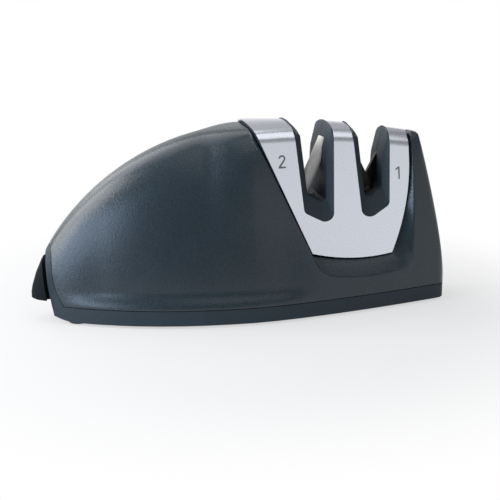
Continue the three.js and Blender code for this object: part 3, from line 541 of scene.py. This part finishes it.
def screw_steel():
    material, shader = new_material("screw_steel", (0.55, 0.55, 0.53), 0.34, 1.0)
    grain = object_noise(material, 2500, 2)
    material.node_tree.links.new(ramp(material, grain, 0.28, 0.42), shader.inputs["Roughness"])
    bump(material, shader, grain, 0.01, 0.5)
    return material


def dark_rivet_steel():
    """The rivet's steel, much darker than the screws'."""
    material, shader = new_material("dark_rivet_steel", (0.12, 0.115, 0.108), 0.5, 1.0)
    grain = object_noise(material, 2500, 2)
    vary_colour(material, shader, ramp(material, grain, 0, 1), (0.09, 0.086, 0.08), (0.15, 0.144, 0.136))
    material.node_tree.links.new(ramp(material, grain, 0.44, 0.58), shader.inputs["Roughness"])
    bump(material, shader, grain, 0.01, 0.5)
    return material


def ceramic():
    material, shader = new_material("ceramic", (0.85, 0.84, 0.8), 0.5)
    grain = object_noise(material, 3500, 3)
    vary_colour(material, shader, ramp(material, object_noise(material, 350, 3), 0, 1),
                (0.8, 0.79, 0.75), (0.88, 0.87, 0.83))
    bump(material, shader, grain, 0.02, 0.6)
    return material


def carbide():
    material, shader = new_material("carbide", (0.025, 0.0235, 0.0215), 0.4, 0.9)
    brush = object_noise(material, 1, 2, (3500, 3500, 250))
    vary_colour(material, shader, ramp(material, brush, 0, 1),
                (0.02, 0.0188, 0.0172), (0.03, 0.0282, 0.0258))
    material.node_tree.links.new(ramp(material, brush, 0.34, 0.48), shader.inputs["Roughness"])
    bump(material, shader, brush, 0.006, 0.5)
    return material


def rubber():
    material, shader = new_material("rubber", (0.012, 0.0125, 0.014), 0.75)
    grain = object_noise(material, 1200, 3)
    vary_colour(material, shader, ramp(material, object_noise(material, 160), 0, 1),
                (0.010, 0.0105, 0.012), (0.016, 0.0165, 0.018))
    bump(material, shader, grain, 0.03, 0.5)
    return material


def mark_ink():
    material, shader = new_material("mark_ink", (0.16, 0.165, 0.18), 0.45, 0.6)
    vary_colour(material, shader, ramp(material, object_noise(material, 2200), 0, 1),
                (0.13, 0.135, 0.15), (0.19, 0.195, 0.21))
    return material


SLATE = slate_plastic()
DULL = dull_plastic()
BLACK_WITH_SHADE = black_plastic()
STEEL = satin_steel()
SCREW = screw_steel()
DARK_RIVET_STEEL = dark_rivet_steel()
CERAMIC = ceramic()
CARBIDE = carbide()
RUBBER = rubber()
INK = mark_ink()

# Housing shell

ROWS_LOW = 12
ROWS_HIGH = 40
COLUMNS_HUMP = 60
COLUMNS_LEDGE = 30
COLUMNS_NOSE = 24
WALL_STEPS = 2
NOSE_CROWD = 1.5  # the nose's columns crowd toward its end by this power
SIDE_SHARE = 0.75  # above this share of the height the rows follow the rounded shoulder
LOW_EDGE = 0.16  # share of the low rows' height that the last step keeps, for the rim's rounding
RIM_EDGE = 0.8  # rounding of the recess rim
PART_EDGE = 0.15  # and of the edges at the parting line and the tail seam
TOP_EDGE = 0.1  # and of the rim's top on the nose
TOP_EDGE_RUN = 10  # height over which the rim's rounding falls to that
SEAM_CLOSE = 0.2  # how far the shell's lip reaches into the gap at the tail seam


def low_row(row):
    return 1 if row == ROWS_LOW else (1 - LOW_EDGE) * row / (ROWS_LOW - 1)


def row_share(row, x, low_share):
    """Share of the height of a row: even below the shoulder, then even round the section's corner."""
    if row <= ROWS_LOW:
        return low_share * low_row(row)
    t = (row - ROWS_LOW) / ROWS_HIGH
    if t < 0.5:
        return lerp(low_share, SIDE_SHARE, 2 * t)
    power = section_power(x)
    start = math.asin(SIDE_SHARE ** (power / 2))
    return math.sin(lerp(start, math.pi / 2, 2 * t - 1)) ** (2 / power)


def share_at(point):
    return (point[1] - BAND_TOP) / (top_line(point[0]) - BAND_TOP)


def hump_grid():
    low_share = share_at(TAIL_MIDDLE)

    def on_row(row):
        return lambda x: skin_point(x, row_share(row, x, low_share))

    grid = []
    for row in range(ROWS_LOW + ROWS_HIGH + 1):
        point = on_row(row)
        left = solve(lambda x: x - seam_x(point(x).z), SEAM_X - 1, SEAM_X + SEAM_RUN + 1) - SEAM_CLOSE
        right = TAIL_MIDDLE[0]
        if row > ROWS_LOW:
            right = solve(lambda x: x - shoulder_edge(point(x).z), -10, TAIL_MIDDLE[0] + 1)
        grid.append([point(lerp(left, right, i / COLUMNS_HUMP)) for i in range(COLUMNS_HUMP + 1)])
    return grid


def nose_grid():
    low_share = share_at(NOSE_MIDDLE)
    grid = []
    for row in range(ROWS_LOW + ROWS_HIGH + 1):
        def point(x, at=row):
            return skin_point(x, row_share(at, x, low_share))

        def edge(x):
            z = point(x).z
            return x - (RIM_NOSE_X if z > PLATE_SIDE_Z else rim_side(rim_share(z))[0])

        left = NOSE_MIDDLE[0] if row <= ROWS_LOW else solve(edge, NOSE_MIDDLE[0] - 1, RIM_NOSE_X + 2)
        right = NOSE_X - END_SKIP
        shares = [1 - (1 - i / COLUMNS_NOSE) ** NOSE_CROWD for i in range(COLUMNS_NOSE + 1)]
        grid.append([point(lerp(left, right, s)) for s in shares])
    return grid


def ledge_grid():
    """The strip of skin under the recess, up to its rim."""
    rim = [rim_low(i / COLUMNS_LEDGE) for i in range(COLUMNS_LEDGE + 1)]
    return [[skin_point(point[0], low_row(row) * share_at(point)) for point in rim]
            for row in range(ROWS_LOW + 1)]


def inward(row, depth):
    """Each point of a row of section points moved in, square to the section."""
    moved = []
    for i, point in enumerate(row):
        before = row[max(i - 1, 0)]
        after = row[min(i + 1, len(row) - 1)]
        along = after - before
        normal = Vector((0, along.z, -along.y)).normalized()
        moved.append(point + normal * depth)
    moved[-1].y = 0
    return moved


def below_face(point):
    x, z = point
    return Vector((x, RECESS_FLOOR - face_half(x, z), z))


def shoulder_wall(grid):
    """Inner edge of the hump's end face, from the ledge to the crown."""
    edge = [row[-1] for row in grid[ROWS_LOW:]]
    inner = inward(edge, RIM_WALL)
    corner = below_face(PLATE_TAIL)
    for i, point in enumerate(edge):
        if point.z <= PLATE_TAIL_Z:
            inner[i] = edge[0].lerp(corner, (point.z - edge[0].z) / (PLATE_TAIL_Z - edge[0].z))
        else:
            inner[i].x = shoulder_x(inner[i].z)
    return edge, inner


def nose_wall(grid):
    """Inner edge of the recess on the nose side, from the ledge to the crown."""
    edge = [row[0] for row in grid[ROWS_LOW:]]
    inner = inward(edge, RIM_WALL)
    for i, point in enumerate(edge):
        if point.z < PLATE_SIDE_Z:
            inner[i] = below_face(plate_side(rim_share(point.z)))
        else:
            inner[i].x = PLATE_SIDE_X - PLATE_TOP_BACK * (point.z - PLATE_SIDE_Z) / (ABOVE - PLATE_SIDE_Z)
    return edge, inner


def strip_faces(points, faces, rows):
    """Adds a grid of points and its quads."""
    start = len(points)
    width = len(rows[0])
    for row in rows:
        points.extend(row)
    for r in range(len(rows) - 1):
        for i in range(width - 1):
            a = start + r * width + i
            faces.append((a, a + 1, a + width + 1, a + width))


def between(edge, inner):
    """Rows of points from one edge of a wall to the other."""
    return [[a.lerp(b, s / WALL_STEPS) for a, b in zip(edge, inner)] for s in range(WALL_STEPS + 1)]


def housing_edge(point):
    """Share of the rim's rounding: full on the recess, less at its top on the nose and on other edges."""
    if point.z < RIM_LOW_Z or point.x < WIDEST_X:
        return PART_EDGE / RIM_EDGE
    if point.x < PLATE_NOSE_X:
        return 1
    return lerp(1, TOP_EDGE / RIM_EDGE, smoothstep(point.z, PLATE_SIDE_Z - TOP_EDGE_RUN, PLATE_SIDE_Z))


def nose_cap(grid):
    """Closes the shell's end at the nose, from its last column to the middle."""
    return [[row[-1], Vector((row[-1].x, 0, row[-1].z))] for row in grid]


def build_housing():
    points = []
    faces = []
    hump = hump_grid()
    nose = nose_grid()
    ledge = ledge_grid()
    for grid in (hump, ledge, nose, nose_cap(nose)):
        strip_faces(points, faces, grid)
    strip_faces(points, faces, shoulder_wall(hump))
    floor = [below_face(plate_low(i / COLUMNS_LEDGE)) for i in range(COLUMNS_LEDGE + 1)]
    strip_faces(points, faces, between(ledge[-1], floor))
    strip_faces(points, faces, between(*nose_wall(nose)))
    count = len(points)
    mirrored = [Vector((p.x, -p.y, p.z)) for p in points]
    faces += [tuple(count + i for i in reversed(face)) for face in faces]
    made = mesh_object("housing_shell", points + mirrored, faces)
    merge(made)
    face_out(made)
    shell = made.modifiers.new("shell", "SOLIDIFY")
    shell.thickness = SHELL * MM
    shell.offset = -1
    apply_modifiers(made)
    round_convex(made, RIM_EDGE, housing_edge)
    smooth(made, 40)
    return finish_piece(made, SLATE, "slate_plastic", "body", "housing")


# Steel saddle

FACE_STEPS = 4
CROWN_STEPS = 10
TOWER_STEPS = 30
TOWER_BEHIND = 2  # how far the tower reaches under the hump
PLATE_STEPS = 16
SHARP_STEPS = 4
FILLET_STEPS = 12
INSIDE_PAST = 3  # how far the tool that hollows the sheet passes its ends


def tower_ring(x, inset, bottom):
    """Half section of the tower's face, bend and crown, mirrored into a ring."""
    crown = crown_line(x) - inset
    bend = crown - CROWN_RISE
    radius = BEND_RADIUS
    near = []
    for i in range(FACE_STEPS + 1):
        z = lerp(bottom, bend - radius, i / FACE_STEPS)
        near.append((x, inset - face_half(x, z), z))
    corner = (x, inset - face_half(x, bend), bend)
    start = near[-1]
    end_y = corner[1] + radius
    end = (x, end_y, crown - CROWN_RISE * (end_y / corner[1]) ** 2)
    near += [bezier(start, corner, end, i / BEND_STEPS) for i in range(1, BEND_STEPS + 1)]
    for i in range(1, CROWN_STEPS):
        y = end_y * (1 - i / CROWN_STEPS)
        near.append((x, y, crown - CROWN_RISE * (y / corner[1]) ** 2))
    far = [(p[0], -p[1], p[2]) for p in reversed(near)]
    return near + [(x, 0, crown)] + far


def tower(name, inset, bottom, reach):
    from_x = shoulder_x(CROWN_Z) - TOWER_BEHIND - reach
    to_x = RIM_NOSE_X + reach
    stations = [lerp(from_x, to_x, i / TOWER_STEPS) for i in range(TOWER_STEPS + 1)]
    return loft(name, [tower_ring(x, inset, bottom) for x in stations])


def plate_outline(grow):
    """The steel face seen from the side, with every edge moved out by grow."""
    tail = (PLATE_TAIL[0] - grow, PLATE_TAIL_Z - grow)
    nose = (PLATE_NOSE_X + grow, PLATE_LOW_Z - grow)
    side = (PLATE_SIDE_X + grow, PLATE_SIDE_Z)
    bow = ((tail[0] + PLATE_NOSE_X) / 2, PLATE_BOW_Z - grow)
    low = [bezier(tail, bow, nose, i / PLATE_STEPS) for i in range(PLATE_STEPS + 1)]
    rise = (PLATE_LOW_Z + PLATE_SIDE_Z) / 2
    right = [bezier(nose, (side[0], rise), side, i / PLATE_STEPS) for i in range(1, PLATE_STEPS + 1)]
    return [(shoulder_x(ABOVE) - grow, ABOVE)] + low + right + [(side[0] - PLATE_TOP_BACK, ABOVE)]


def fillet(start, corner, end, steps):
    """A round corner, as a curve with both handles on the way to the corner."""
    first = [lerp(a, c, FILLET_HANDLE) for a, c in zip(start, corner)]
    last = [lerp(b, c, FILLET_HANDLE) for b, c in zip(end, corner)]
    points = []
    for i in range(steps + 1):
        t = i / steps
        early = bezier(start, first, last, t)
        late = bezier(first, last, end, t)
        points.append(tuple(lerp(a, b, t) for a, b in zip(early, late)))
    return points


def cutout(corner_x, low):
    """A cutout in the steel, open at the top, with its filleted low corner on the side of low."""
    def tail(z):
        return corner_x - (z - CUT_CORNER_Z) * CUT_LEAN_TAIL

    def nose(z):
        return corner_x + CUT_WIDTH + (z - CUT_CORNER_Z) * CUT_LEAN_NOSE

    filleted, sharp = (nose, tail) if low > 0 else (tail, nose)
    low_x = filleted(CUT_LOW_Z)
    sharp_x = sharp(CUT_CORNER_Z)
    fall = (CUT_CORNER_Z - CUT_LOW_Z) / abs(low_x - sharp_x)
    sharp_start = (sharp(CUT_CORNER_Z + CUT_SHARP), CUT_CORNER_Z + CUT_SHARP)
    sharp_end = (sharp_x + low * CUT_SHARP, CUT_CORNER_Z - fall * CUT_SHARP)
    sharp_corner = (sharp_x, CUT_CORNER_Z)
    outline = [bezier(sharp_start, sharp_corner, sharp_end, i / SHARP_STEPS) for i in range(SHARP_STEPS + 1)]
    start = (low_x - low * CUT_FILLET, CUT_LOW_Z + CUT_FILLET * fall)
    end = (filleted(CUT_LOW_Z + CUT_FILLET), CUT_LOW_Z + CUT_FILLET)
    outline += fillet(start, (low_x, CUT_LOW_Z), end, FILLET_STEPS)
    return outline + [(filleted(ABOVE), ABOVE), (sharp(ABOVE), ABOVE)]


def build_saddle():
    made = tower("saddle_sheet", 0, RIM_LOW_Z, 0)
    cut(made, tower("inside", SHEET, RIM_LOW_Z - INSIDE_PAST, INSIDE_PAST))
    cut(made, prism("outline", plate_outline(-SHADOW_GAP)), "INTERSECT")
    cut(made, prism("fine", cutout(FINE_CUT_X, 1)))
    cut(made, prism("coarse", cutout(COARSE_CUT_X, -1)))
    merge(made)
    plain_faces(made, 0.2)
    round_edges(made, 0.12, angle=40, segments=2)
    smooth(made, 40)
    flatten_shading(made)
    return finish_piece(made, STEEL, "satin_steel", "body", "steel_saddle")


# Pieces that keep their solid's form, with rounded edges

def dress(node, name, material, slot, body, width, angle=28):
    made = copy_of(node, name)
    plain_faces(made)
    round_edges(made, width, angle)
    smooth(made)
    flatten_shading(made)
    return finish_piece(made, material, slot, body, node)


def dress_all():
    dress("base_tray", "base_shell", DULL, "slate_plastic", "body", 0.15)
    for side in ("front", "rear"):
        dress(f"slot_cartridge_{side}", f"slot_moulding_{side}", DULL, "slate_plastic", "body", 0.35, 20)
        dress(f"cartridge_screw_{side}", f"moulding_screw_{side}", SCREW, "screw_steel", "body", 0.1)
    for side in ("left", "right"):
        dress(f"ceramic_rod_{side}", f"rod_{side}", CERAMIC, "ceramic", "body", 0.3)
        dress(f"carbide_blade_{side}", f"blade_{side}", CARBIDE, "carbide", "body", 0.15)
    dress("carbide_rivet", "blade_rivet", DARK_RIVET_STEEL, "screw_steel", "body", 0.15)
    for i in range(1, 5):
        dress(f"base_screw_{i}", f"tray_screw_{i}", SCREW, "screw_steel", "body", 0.15)
        dress(f"rubber_foot_{i}", f"foot_{i}", RUBBER, "rubber", "body", 0.2)
    dress("suction_lever", "lever_tab", BLACK_WITH_SHADE, "black_plastic", "lever", 0.4)
    dress("lever_pivot_pin", "pivot_pin", SCREW, "screw_steel", "body", 0.3)
    dress("suction_stem", "pad_stem", BLACK_WITH_SHADE, "black_plastic", "suction_foot", 0.25)
    dress("stem_pin", "fork_pin", SCREW, "screw_steel", "suction_foot", 0.25)
    dress("suction_pad", "pad_rubber", RUBBER, "rubber", "suction_foot", 0.15)


# Stage marks on the steel

MARK_HIGH = 6
MARK_PROUD = 0.02
FINE_MARK = (13.8, 73.4)
COARSE_MARK = (73.1, 63.8)
STROKE = 0.13  # width of the numerals' strokes, where their height is 1


def arc(middle, radius, start, end, steps=14):
    """Points on an ellipse, with angles in degrees from the right, turning left."""
    turns = [math.radians(lerp(start, end, i / steps)) for i in range(steps + 1)]
    return [(middle[0] + radius[0] * math.cos(a), middle[1] + radius[1] * math.sin(a)) for a in turns]


def two_outline():
    bowl = (0, 0.72)
    outer = arc(bowl, (0.29, 0.28), 172, -32)
    inner = arc(bowl, (0.29 - STROKE, 0.28 - STROKE), -32, 172)
    foot = [(-0.1, STROKE), (0.3, STROKE), (0.3, 0), (-0.3, 0), (-0.3, STROKE)]
    return outer + foot + inner


def one_outline():
    flag = [(0.05, 1), (-0.2, 0.84), (-0.2, 0.71), (0.03, 0.84)]
    return [(0.03, 0), (0.03 + STROKE, 0), (0.03 + STROKE, 1)] + flag


def stage_mark(name, outline, place, side):
    """A numeral in the plane of the steel face, a little proud of it."""
    x, z = place
    across = Vector((math.cos(FACE_TAPER), side * -math.sin(FACE_TAPER), 0)) * -side
    up = Vector((0, -side * math.sin(FACE_TILT), math.cos(FACE_TILT)))
    up = (up - across * up.dot(across)).normalized()
    turn = Matrix((across, up.cross(across), up)).transposed().to_4x4()
    turn.translation = Vector((x, side * face_half(x, z), z)) * MM
    strokes = [(px * MARK_HIGH, (py - 0.5) * MARK_HIGH) for px, py in outline]
    made = prism(f"stage_mark_{name}_{'near' if side < 0 else 'far'}", strokes, -MARK_PROUD, MARK_PROUD)
    made.data.transform(turn)
    finish_piece(made, INK, "satin_steel", "body")


# Camera, light and floor

PHOTO_SIZE = 500
FOCAL_PIXELS = 1116.5
SENSOR = 36
CAMERA_AT = (-103.7, -505.1, 165.0)
CAMERA_TO = (-3.75, -34.8, 36.57)
STUDIO_MIDDLE = (-10, 0, 40)
AMBIENT = 0.35  # light of the world on the object
STUDIO_DARK = 0.12  # the studio round the camera, as gloss shows it
STUDIO_SIDE = 0.85  # and its pale walls to both sides
STUDIO_HIGH = 0.26  # and above these, as a share of their level
STUDIO_BACK = 0.42  # and high up on the backdrop
FLOOR_GLOW = 0.6  # share of the floor under the object that is plain white
FLOOR_FRONT = 0.1  # the floor in front of the camera, as gloss shows it
FLOOR_REACH = 6000
SOFTBOX_FAR = 700


def aim(made, target):
    direction = Vector(target) * MM - made.location
    made.rotation_euler = direction.to_track_quat("-Z", "Y").to_euler()


def add_camera():
    data = bpy.data.cameras.new("camera")
    data.sensor_width = SENSOR
    data.lens = SENSOR * FOCAL_PIXELS / PHOTO_SIZE
    data.clip_start = 0.01
    made = bpy.data.objects.new("camera", data)
    bpy.context.scene.collection.objects.link(made)
    made.location = Vector(CAMERA_AT) * MM
    aim(made, CAMERA_TO)
    bpy.context.scene.camera = made


def softbox(name, azimuth, elevation, size, level, colour=(1, 1, 1)):
    """A lamp panel. Azimuth runs from the front to the nose side, and a level of 1 shows as white."""
    turn = math.radians(azimuth)
    lift = math.radians(elevation)
    direction = Vector((math.sin(turn) * math.cos(lift), -math.cos(turn) * math.cos(lift), math.sin(lift)))
    data = bpy.data.lights.new(name, "AREA")
    data.shape = "RECTANGLE"
    data.size = size[0] * MM
    data.size_y = size[1] * MM
    data.energy = level * math.pi * data.size * data.size_y
    data.color = colour
    made = bpy.data.objects.new(name, data)
    bpy.context.scene.collection.objects.link(made)
    made.location = (Vector(STUDIO_MIDDLE) + direction * SOFTBOX_FAR) * MM
    made.visible_camera = False
    aim(made, STUDIO_MIDDLE)


def math_node(tree, operation, first, second):
    """One step of arithmetic on two sockets or numbers."""
    node = tree.nodes.new("ShaderNodeMath")
    node.operation = operation
    for socket, value in zip(node.inputs, (first, second)):
        if isinstance(value, (int, float)):
            socket.default_value = value
        else:
            tree.links.new(value, socket)
    return node.outputs["Value"]


def spread(tree, source, from_low, from_high, to_low, to_high):
    node = tree.nodes.new("ShaderNodeMapRange")
    node.interpolation_type = "SMOOTHSTEP"
    node.inputs["From Min"].default_value = from_low
    node.inputs["From Max"].default_value = from_high
    node.inputs["To Min"].default_value = to_low
    node.inputs["To Max"].default_value = to_high
    tree.links.new(source, node.inputs["Value"])
    return node.outputs["Result"]


def studio_level(tree):
    """What gloss shows of the studio: white behind, pale to both sides, dim round the camera."""
    direction = tree.nodes.new("ShaderNodeTexCoord")
    parts = tree.nodes.new("ShaderNodeSeparateXYZ")
    tree.links.new(direction.outputs["Generated"], parts.inputs["Vector"])
    right = spread(tree, parts.outputs["X"], 0.1, 0.45, STUDIO_DARK, STUDIO_SIDE)
    left = spread(tree, parts.outputs["X"], -0.5, -0.75, STUDIO_DARK, STUDIO_SIDE)
    sides = math_node(tree, "MAXIMUM", right, left)
    side_fall = spread(tree, parts.outputs["Z"], 0.05, 0.3, 1, STUDIO_HIGH)
    walls = math_node(tree, "MULTIPLY", sides, side_fall)
    behind = spread(tree, parts.outputs["Y"], 0.1, 0.45, 0, 1)
    back_fall = spread(tree, parts.outputs["Z"], 0.08, 0.35, 1, STUDIO_BACK)
    backdrop = math_node(tree, "MULTIPLY", behind, back_fall)
    return math_node(tree, "MAXIMUM", walls, backdrop)


def add_world():
    """Even light on the object, and a white backdrop that only camera, gloss and glass see."""
    world = bpy.data.worlds.new("studio")
    bpy.context.scene.world = world
    world.use_nodes = True
    tree = world.node_tree
    rays = tree.nodes.new("ShaderNodeLightPath")
    light = tree.nodes["Background"]
    light.inputs["Color"].default_value = (0.94, 0.97, 1, 1)
    light.inputs["Strength"].default_value = AMBIENT
    shown = tree.nodes.new("ShaderNodeBackground")
    shown.inputs["Color"].default_value = (1, 1, 1, 1)
    tree.links.new(math_node(tree, "MAXIMUM", studio_level(tree), rays.outputs["Is Camera Ray"]),
                   shown.inputs["Strength"])
    mix = tree.nodes.new("ShaderNodeMixShader")
    tree.links.new(seen_rays(tree), mix.inputs["Fac"])
    tree.links.new(light.outputs["Background"], mix.inputs[1])
    tree.links.new(shown.outputs["Background"], mix.inputs[2])
    tree.links.new(mix.outputs["Shader"], tree.nodes["World Output"].inputs["Surface"])


def seen_rays(tree):
    """1 for the rays that show the background: camera, glossy and transmission."""
    rays = tree.nodes.new("ShaderNodeLightPath")
    shine = math_node(tree, "MAXIMUM", rays.outputs["Is Glossy Ray"], rays.outputs["Is Transmission Ray"])
    return math_node(tree, "MAXIMUM", rays.outputs["Is Camera Ray"], shine)


def floor_glow(tree, place):
    """What gloss shows of the floor: pale behind and to the right, dim in front. The camera sees white."""
    parts = tree.nodes.new("ShaderNodeSeparateXYZ")
    tree.links.new(place.outputs["Object"], parts.inputs["Vector"])
    front = spread(tree, parts.outputs["Y"], -0.2, -0.03, FLOOR_FRONT, 1)
    right = spread(tree, parts.outputs["X"], 0.04, 0.2, 0, STUDIO_SIDE)
    rays = tree.nodes.new("ShaderNodeLightPath")
    pale = math_node(tree, "MAXIMUM", front, right)
    level = math_node(tree, "MAXIMUM", pale, rays.outputs["Is Camera Ray"])
    glow = tree.nodes.new("ShaderNodeEmission")
    tree.links.new(level, glow.inputs["Strength"])
    return glow.outputs["Emission"]


def floor_material():
    """A grey floor that keeps the shadow near the object and turns into white backdrop further out."""
    material = bpy.data.materials.new("floor")
    material.use_nodes = True
    tree = material.node_tree
    shader = tree.nodes["Principled BSDF"]
    shader.inputs["Base Color"].default_value = (0.5, 0.5, 0.51, 1)
    shader.inputs["Roughness"].default_value = 0.9
    place = tree.nodes.new("ShaderNodeTexCoord")
    far = tree.nodes.new("ShaderNodeVectorMath")
    far.operation = "LENGTH"
    tree.links.new(place.outputs["Object"], far.inputs[0])
    share = spread(tree, far.outputs["Value"], 0.1, 0.2, FLOOR_GLOW, 1)
    mix = tree.nodes.new("ShaderNodeMixShader")
    tree.links.new(math_node(tree, "MULTIPLY", seen_rays(tree), share), mix.inputs["Fac"])
    tree.links.new(shader.outputs["BSDF"], mix.inputs[1])
    tree.links.new(floor_glow(tree, place), mix.inputs[2])
    tree.links.new(mix.outputs["Shader"], tree.nodes["Material Output"].inputs["Surface"])
    return material


def add_floor():
    corners = [(-1, -1), (1, -1), (1, 1), (-1, 1)]
    made = mesh_object("floor", [(x * FLOOR_REACH, y * FLOOR_REACH, 0) for x, y in corners], [(0, 1, 2, 3)])
    made.data.materials.append(floor_material())


def add_lights():
    softbox("left", -88, 27, (560, 540), 6.0)
    softbox("left_front", -57, 9, (440, 380), 5.0, (0.58, 0.75, 1))
    softbox("back_left", -135, 36, (700, 500), 2.4)
    softbox("back_high", -150, 70, (700, 450), 1.6)
    softbox("front_high", 30, 58, (800, 600), 0.9)


add_camera()
add_world()
add_floor()
add_lights()
build_housing()
build_saddle()
dress_all()
for side in (-1, 1):
    stage_mark("fine", two_outline(), FINE_MARK, side)
    stage_mark("coarse", one_outline(), COARSE_MARK, side)

bpy.context.scene.view_settings.view_transform = "Standard"
